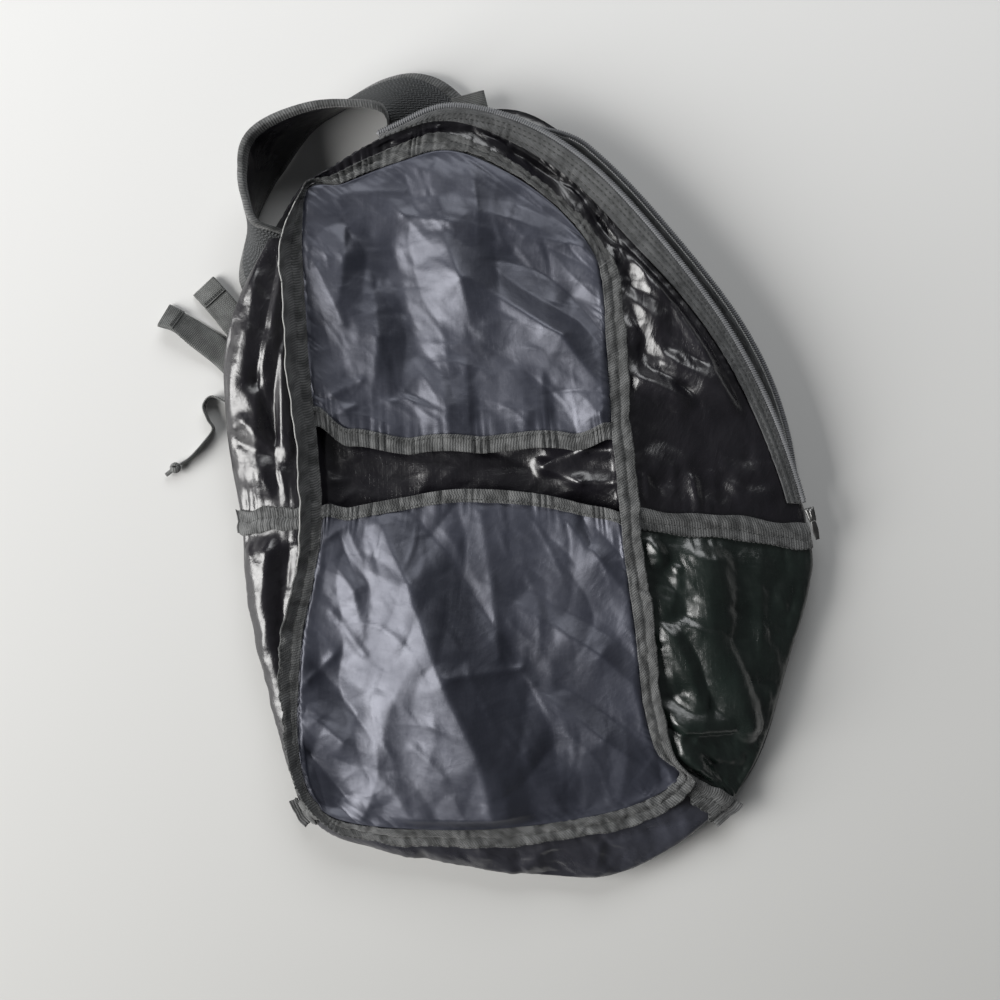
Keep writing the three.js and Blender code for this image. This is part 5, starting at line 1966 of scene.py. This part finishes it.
@dataclass
class BackCloth(Part):
    """The back panel on the floor and the binding round its left and lower seam."""

    def build(self) -> None:
        """Make the panel as rings from its middle to its outline, and the binding."""
        station, share = lattice(np.linspace(0, STATIONS, 197), np.linspace(0.03, 1, 32))
        middle = np.array([0.0, 8.0, 0.0])
        grid = middle + (back_point(station) - middle) * share[..., None]
        x, y = grid[..., 0], grid[..., 1]
        relief = 0.3 * (facets(x, y, 61, 30) - 0.3) + 0.3 * creases(x, y, 62, 200, 16, 2.6)
        grid[..., 2] = 0.6 + np.clip(ease(1 - share, 0.1) * relief, -0.3, 1.2)
        data = self.closed_disc(grid, 0.5)
        made = self.piece("back_cloth", data, Finish.RIPSTOP, ["back_panel"])
        self.sheet(made, data, "laid", ["floor"])
        station, across = lattice(np.linspace(RIGHT_SIDE, STATIONS, 330), np.linspace(0, 1, 7))
        out = outward(back_point, station)
        tape = back_point(station) + out * (GAP * 2 + BACK_TAPE_WIDTH * across)[..., None]
        walk = seam_walk(station)
        tape[..., 2] = 0.75 + 0.6 * (gathers(walk, 17, 6) * across)
        self.piece("back_seam_tape", slab(tape, 0.8), Finish.TAPE, ["binding_back_seam"])

    def closed_disc(self, grid: Array, thickness: float) -> MeshData:
        """A plate from rings of points: top, underside, the rim between, and the small middle closed."""
        grid = grid[:-1]
        rows, columns = grid.shape[:2]
        index = np.arange(rows * columns).reshape(rows, columns)
        after = np.roll(index, -1, axis=0)
        ring = np.stack([index[:, :-1], after[:, :-1], after[:, 1:], index[:, 1:]], -1).reshape(-1, 4)
        below = ring[:, ::-1] + rows * columns
        last, following = index[:, -1], after[:, -1]
        rim = np.stack([last, following, following + rows * columns, last + rows * columns], -1)
        up = np.array([0, 0, thickness / 2])
        points = np.concatenate([(grid + up).reshape(-1, 3), (grid - up).reshape(-1, 3)])
        hub = index[::-1, 0][None]
        caps = [hub[:, ::-1], hub + rows * columns]
        flat = np.tile(grid.reshape(-1, 3)[:, :2], (2, 1))
        return MeshData(points, [ring, below, rim, *caps], flat, {})


@dataclass
class Route:
    """A strap's way: its centre line and the direction of its width at each step."""

    table: Table
    width: float
    thickness: float

    def level(self, share: Array) -> Array:
        """The way on the floor."""
        x = self.table.along("x", share) * BAG_WIDTH
        return np.stack([x, self.table.along("y", share) * BAG_HEIGHT, np.zeros_like(share)], -1)

    def frame(self, share: Array) -> tuple[Array, Array, Array]:
        """Centre, width direction and outward direction at shares of the way.

        The width leans from the floor by the table's angle, and the centre is as high as the
        standing width needs, plus the layers beneath.
        """
        step = 0.004
        run = unit(self.level(share + step) - self.level(share - step))
        out = np.stack([run[..., 1], -run[..., 0], np.zeros_like(share)], -1)
        lean = np.radians(self.table.along("lean", share))[..., None]
        across = out * np.cos(lean) + UP * np.sin(lean)
        over = np.maximum(self.table.along("over", share), 0)
        stands = self.width / 2 * np.abs(np.sin(lean[..., 0]))
        stands = stands + self.thickness / 2 * np.abs(np.cos(lean[..., 0]))
        centre = self.level(share)
        centre[..., 2] = stands + GAP * 0.5 + over * (WEBBING_THICK + GAP)
        centre[..., 2] += np.where(over > 0, np.minimum(over, 0.4) * CLOTH * 2.5, 0)
        return centre, across, np.cross(run, across)


@dataclass
class ShoulderStrap(Part):
    """A padded strap: mesh on the outer face, plain cloth on the inner, tape over both edges."""

    name: str = ""
    node: str = ""
    table: Table | None = None
    steps: int = 200
    width: float = 50.0
    thickness: float = 5.0
    binding: float = 4.0

    def build(self) -> None:
        """Make the pad with its two faces, and its bindings with their stitches."""
        route = Route(self.table, self.width, self.thickness)
        centre, across, out = route.frame(np.linspace(0, 1, self.steps))
        half = self.width / 2
        inner = half - self.binding * 0.7
        side = np.linspace(-inner, inner, 31)
        crown = 1 - 0.5 * np.abs(side / half) ** 5
        walk = arc_lengths(centre[:, None], 0)
        wave = 0.35 * np.sin(walk / 9) * np.cos(side / 11)[None] * 0.6
        grid = centre[:, None] + across[:, None] * side[None, :, None]
        mesh_face = grid + out[:, None] * (self.thickness * 0.24 * crown[None] + 0.2 * wave)[..., None]
        cloth_face = grid - out[:, None] * (self.thickness * 0.26 * crown[None])[..., None]
        x, y = walk + 0 * side, side[None] + 0 * walk
        wrinkle = 0.5 * creases(x, y, 33, 90, 12, 1.6) * ease(inner - np.abs(y), 6)
        cloth_face = cloth_face - out[:, None] * wrinkle[..., None]
        data = slab(mesh_face, self.thickness * 0.44 * crown[None])
        made = self.piece(self.name + "_mesh", data, Finish.STRAP_MESH, [self.node + "_pad"])
        lining = slab(cloth_face, self.thickness * 0.4 * crown[None])
        made = self.piece(self.name + "_lining", lining, Finish.RIPSTOP)
        for end, place in (("_binding_low", -1), ("_binding_high", 1)):
            line = centre + across * place * (half - self.binding * 0.97)
            data = sweep(line, across, out, oval(self.binding * 1.9, self.thickness * 0.9, 22, 3.4))
            self.piece(self.name + end, data, Finish.TAPE, [self.node + end])
            row = []
            for face in (1, -1):
                path = line + out * face * self.thickness * 0.4 - across * place * 1.4
                row.append(stitch_row(path, out * face, 2.6, 0.24))
            self.sewn(self.name + end + "_stitches", row)


@dataclass
class Webbing(Part):
    """A flat woven band along a route, with a folded end if it has one."""

    name: str = ""
    node: str = ""
    table: Table | None = None
    width: float = 16.0
    thickness: float = 1.5
    steps: int = 120
    ribs: int = 0
    folded: float = 0.0

    def build(self) -> None:
        """Make the band, its lengthwise ribs, and the folded end with its stitches."""
        route = Route(self.table, self.width, self.thickness)
        share = np.linspace(0, 1, self.steps)
        centre, across, out = route.frame(share)
        turn = np.linspace(0, 1, 3 * self.ribs + 1 if self.ribs else 13)
        top = np.stack([(0.5 - turn) * self.width, np.full(len(turn), self.thickness / 2)], -1)
        if self.ribs:
            top[:, 1] -= 0.18 * np.abs(np.sin(np.pi * self.ribs * turn))
        top[[0, -1], 1] *= 0.3
        bottom = top[::-1] * np.array([1, -1])
        section = np.concatenate([top, bottom])
        parts = [sweep(centre, across, out, section)]
        if self.folded:
            tail = share > 1 - self.folded / max(arc_lengths(centre[:, None], 0)[-1, 0], 1)
            lifted = centre[tail] + out[tail] * self.thickness * 0.85
            parts.append(sweep(lifted, across[tail], out[tail], section * np.array([0.98, 0.8])))
        self.piece(self.name, MeshData.joined(parts), Finish.WEBBING, [self.node])
        if self.folded:
            spot = int(np.argmax(tail)) + 1
            side = np.linspace(-0.46, 0.46, 30)[:, None] * self.width
            line = centre[spot][None] + across[spot][None] * side + out[spot][None] * self.thickness * 1.3
            run = unit(centre[spot] - centre[spot - 2])[None]
            up = np.tile(out[spot], (30, 1))
            rows = [stitch_row(line + run * shift, up, 1.5, 0.35) for shift in (0.8, 1.6)]
            self.sewn(self.name + "_stitches", rows, Finish.WEBBING)


@dataclass
class Knot(Part):
    """The knot at the end of the ribbon: two crossed turns and a short tail."""

    size: float = 7.0

    def build(self) -> None:
        """Make the knot where its solid lies."""
        low, high = (np.array(v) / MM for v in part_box("ribbon_knot"))
        centre = (low + high) / 2
        turn = np.linspace(0, 2 * np.pi, 60, endpoint=False)
        parts = []
        for tilt in (0.5, 2.2):
            rise = np.sin(turn) * 2.3
            ring = np.stack([np.cos(turn) * 2.3, rise * math.cos(tilt), rise * math.sin(tilt)], -1)
            path = centre + np.concatenate([ring, ring[:1]])
            along = unit(np.gradient(path, axis=0))
            out = unit(path - centre)
            parts.append(sweep(path, unit(np.cross(along, out)), out, oval(3.4, 1.5, 12, 2.6)))
        tail = np.linspace(0, 1, 14)
        path = centre + np.stack([-5.4 * tail, -4.2 * tail, -0.6 * tail], -1)
        along = unit(np.gradient(path, axis=0))
        side = unit(np.cross(along, np.array([0.2, 0.1, 1.0])))
        parts.append(sweep(path, side, np.cross(along, side), oval(2.4, 1.3, 12, 2.6)))
        self.piece("knot", MeshData.joined(parts), Finish.WEBBING, ["ribbon_knot"])


@dataclass(frozen=True)
class Window:
    """A rectangular light that looks at the bag."""

    name: str
    place: tuple[float, float, float]
    size: tuple[float, float]
    power: float
    colour: Colour

    def build(self) -> None:
        """Hang the light."""
        light = bpy.data.lights.new(self.name, "AREA")
        light.shape = "RECTANGLE"
        light.size, light.size_y = self.size
        light.energy = self.power
        light.color = self.colour
        made = bpy.data.objects.new(self.name, light)
        made.location = self.place
        made.rotation_euler = turn_towards(-np.array(self.place))
        bpy.context.scene.collection.objects.link(made)


@dataclass
class Studio:
    """Camera, window light and pale floor."""

    camera: tuple[float, float, float] = (-0.01142, -0.00571, 1.0)
    lens: float = 63.05
    sensor: float = 36.0
    windows: tuple[Window, ...] = (
        Window("window", (-2.2, -0.5, 1.22), (1.7, 1.9), 108.0, (1.0, 0.99, 0.975)),
        Window("far window", (0.1, 2.0, 1.65), (1.8, 1.4), 34.0, (0.97, 0.985, 1.0)),
    )

    def build(self) -> None:
        """Set the camera over the bag, light it from the left, and lay the floor."""
        scene = bpy.context.scene
        camera = bpy.data.objects.new("camera", bpy.data.cameras.new("camera"))
        camera.data.lens = self.lens
        camera.data.sensor_width = self.sensor
        camera.location = self.camera
        scene.collection.objects.link(camera)
        scene.camera = camera
        for window in self.windows:
            window.build()
        world = bpy.data.worlds.new("room")
        world.use_nodes = True
        world.node_tree.nodes["Background"].inputs[0].default_value = (0.95, 0.96, 1.0, 1)
        world.node_tree.nodes["Background"].inputs[1].default_value = 0.07
        scene.world = world
        scene.view_settings.view_transform = "Standard"
        self.floor()

    def floor(self) -> None:
        """A pale matt floor with faint random mottling, painted darker towards lower Y as a painted light
        falloff.
        """
        size = 4.0
        mesh = bpy.data.meshes.new("floor")
        mesh.from_pydata(
            [(-size, -size, 0), (size, -size, 0), (size, size, 0), (-size, size, 0)], [], [(0, 1, 2, 3)]
        )
        made = bpy.data.objects.new("floor", mesh)
        bpy.context.scene.collection.objects.link(made)
        material = bpy.data.materials.new("floor_finish")
        material.use_nodes = True
        tree = Tree(material.node_tree)
        shader = material.node_tree.nodes["Principled BSDF"]
        place = tree.node("ShaderNodeTexCoord").outputs["Object"]
        parts = tree.node("ShaderNodeSeparateXYZ")
        tree.link(place, parts.inputs[0])
        # Painted light falloff: the floor's colour darkens towards lower Y.
        painted_falloff = tree.bright(parts.outputs[1], -0.34, 0.3)
        tone = tree.math("MULTIPLY_ADD", tree.noise(place, 3.0, 3), 0.06, painted_falloff)
        colour = tree.mix(tone, (0.535, 0.535, 0.52, 1), (0.745, 0.745, 0.735, 1))
        tree.link(colour, shader.inputs["Base Color"])
        shader.inputs["Roughness"].default_value = 0.7
        made.data.materials.append(material)
        made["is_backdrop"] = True


def turn_towards(direction: Array) -> tuple[float, float, float]:
    """Turn that points an object's -Z along a direction, with its Y as level as it can be."""
    x, y, z = direction / np.linalg.norm(direction)
    return (math.acos(-z), 0.0, math.atan2(-x, y) if abs(x) + abs(y) > 1e-9 else 0.0)


def dress_locks(wardrobe: Wardrobe) -> None:
    """Give the two hidden strap adjusters their plastic."""
    for node in ("ladder_lock_left", "ladder_lock_right"):
        made = bpy.data.objects[node]
        made.data.materials.clear()
        made.data.materials.append(wardrobe[Finish.PLASTIC])


def main() -> None:
    """Build every sub-assembly in order."""
    logging.basicConfig(level=logging.INFO, format="%(name)s: %(message)s")
    packed = [list(corner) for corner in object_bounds()]
    wardrobe = Wardrobe()
    Studio().build()
    parts = [
        BackCloth(wardrobe),
        FrontCloth(wardrobe),
        SideCloth(wardrobe),
        PocketSheet(
            wardrobe,
            "pocket_upper",
            ("pocket_sheet_upper", "hem_tape_upper"),
            UPPER_HEM,
            at_top=False,
            folds=UPPER_SHEET_FOLDS,
            ridges=UPPER_RIDGES,
            seed=100,
        ),
        PocketSheet(
            wardrobe,
            "pocket_lower",
            ("pocket_sheet_lower", "hem_tape_lower"),
            LOWER_HEM,
            at_top=True,
            folds=LOWER_SHEET_FOLDS,
            ridges=LOWER_RIDGES,
            seed=200,
            lie=-60.0,
        ),
        SeamTape(wardrobe),
        Zip(wardrobe),
        ShoulderStrap(wardrobe, "strap_out", "strap_left", STRAP_LEFT),
        ShoulderStrap(wardrobe, "strap_in", "strap_right", STRAP_RIGHT, steps=60),
        Webbing(wardrobe, "tail_upper", "webbing_tail_left", TAIL_LEFT, ribs=9, folded=13.0),
        Webbing(wardrobe, "tail_lower", "webbing_tail_right", TAIL_RIGHT, folded=16.0),
        Webbing(wardrobe, "loop_band", "haul_loop", HAUL_LOOP, 19.0),
        Webbing(wardrobe, "ribbon", "pull_ribbon", PULL_RIBBON, width=8.0, thickness=1.1, steps=160),
        Knot(wardrobe),
    ]
    for part in parts:
        part.build()
    dress_locks(wardrobe)
    dressed = [list(corner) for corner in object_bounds()]
    {"cad": packed, "visual": dressed}
    log.info("cad %s visual %s", packed, dressed)


if __name__ == "__main__":
    main()
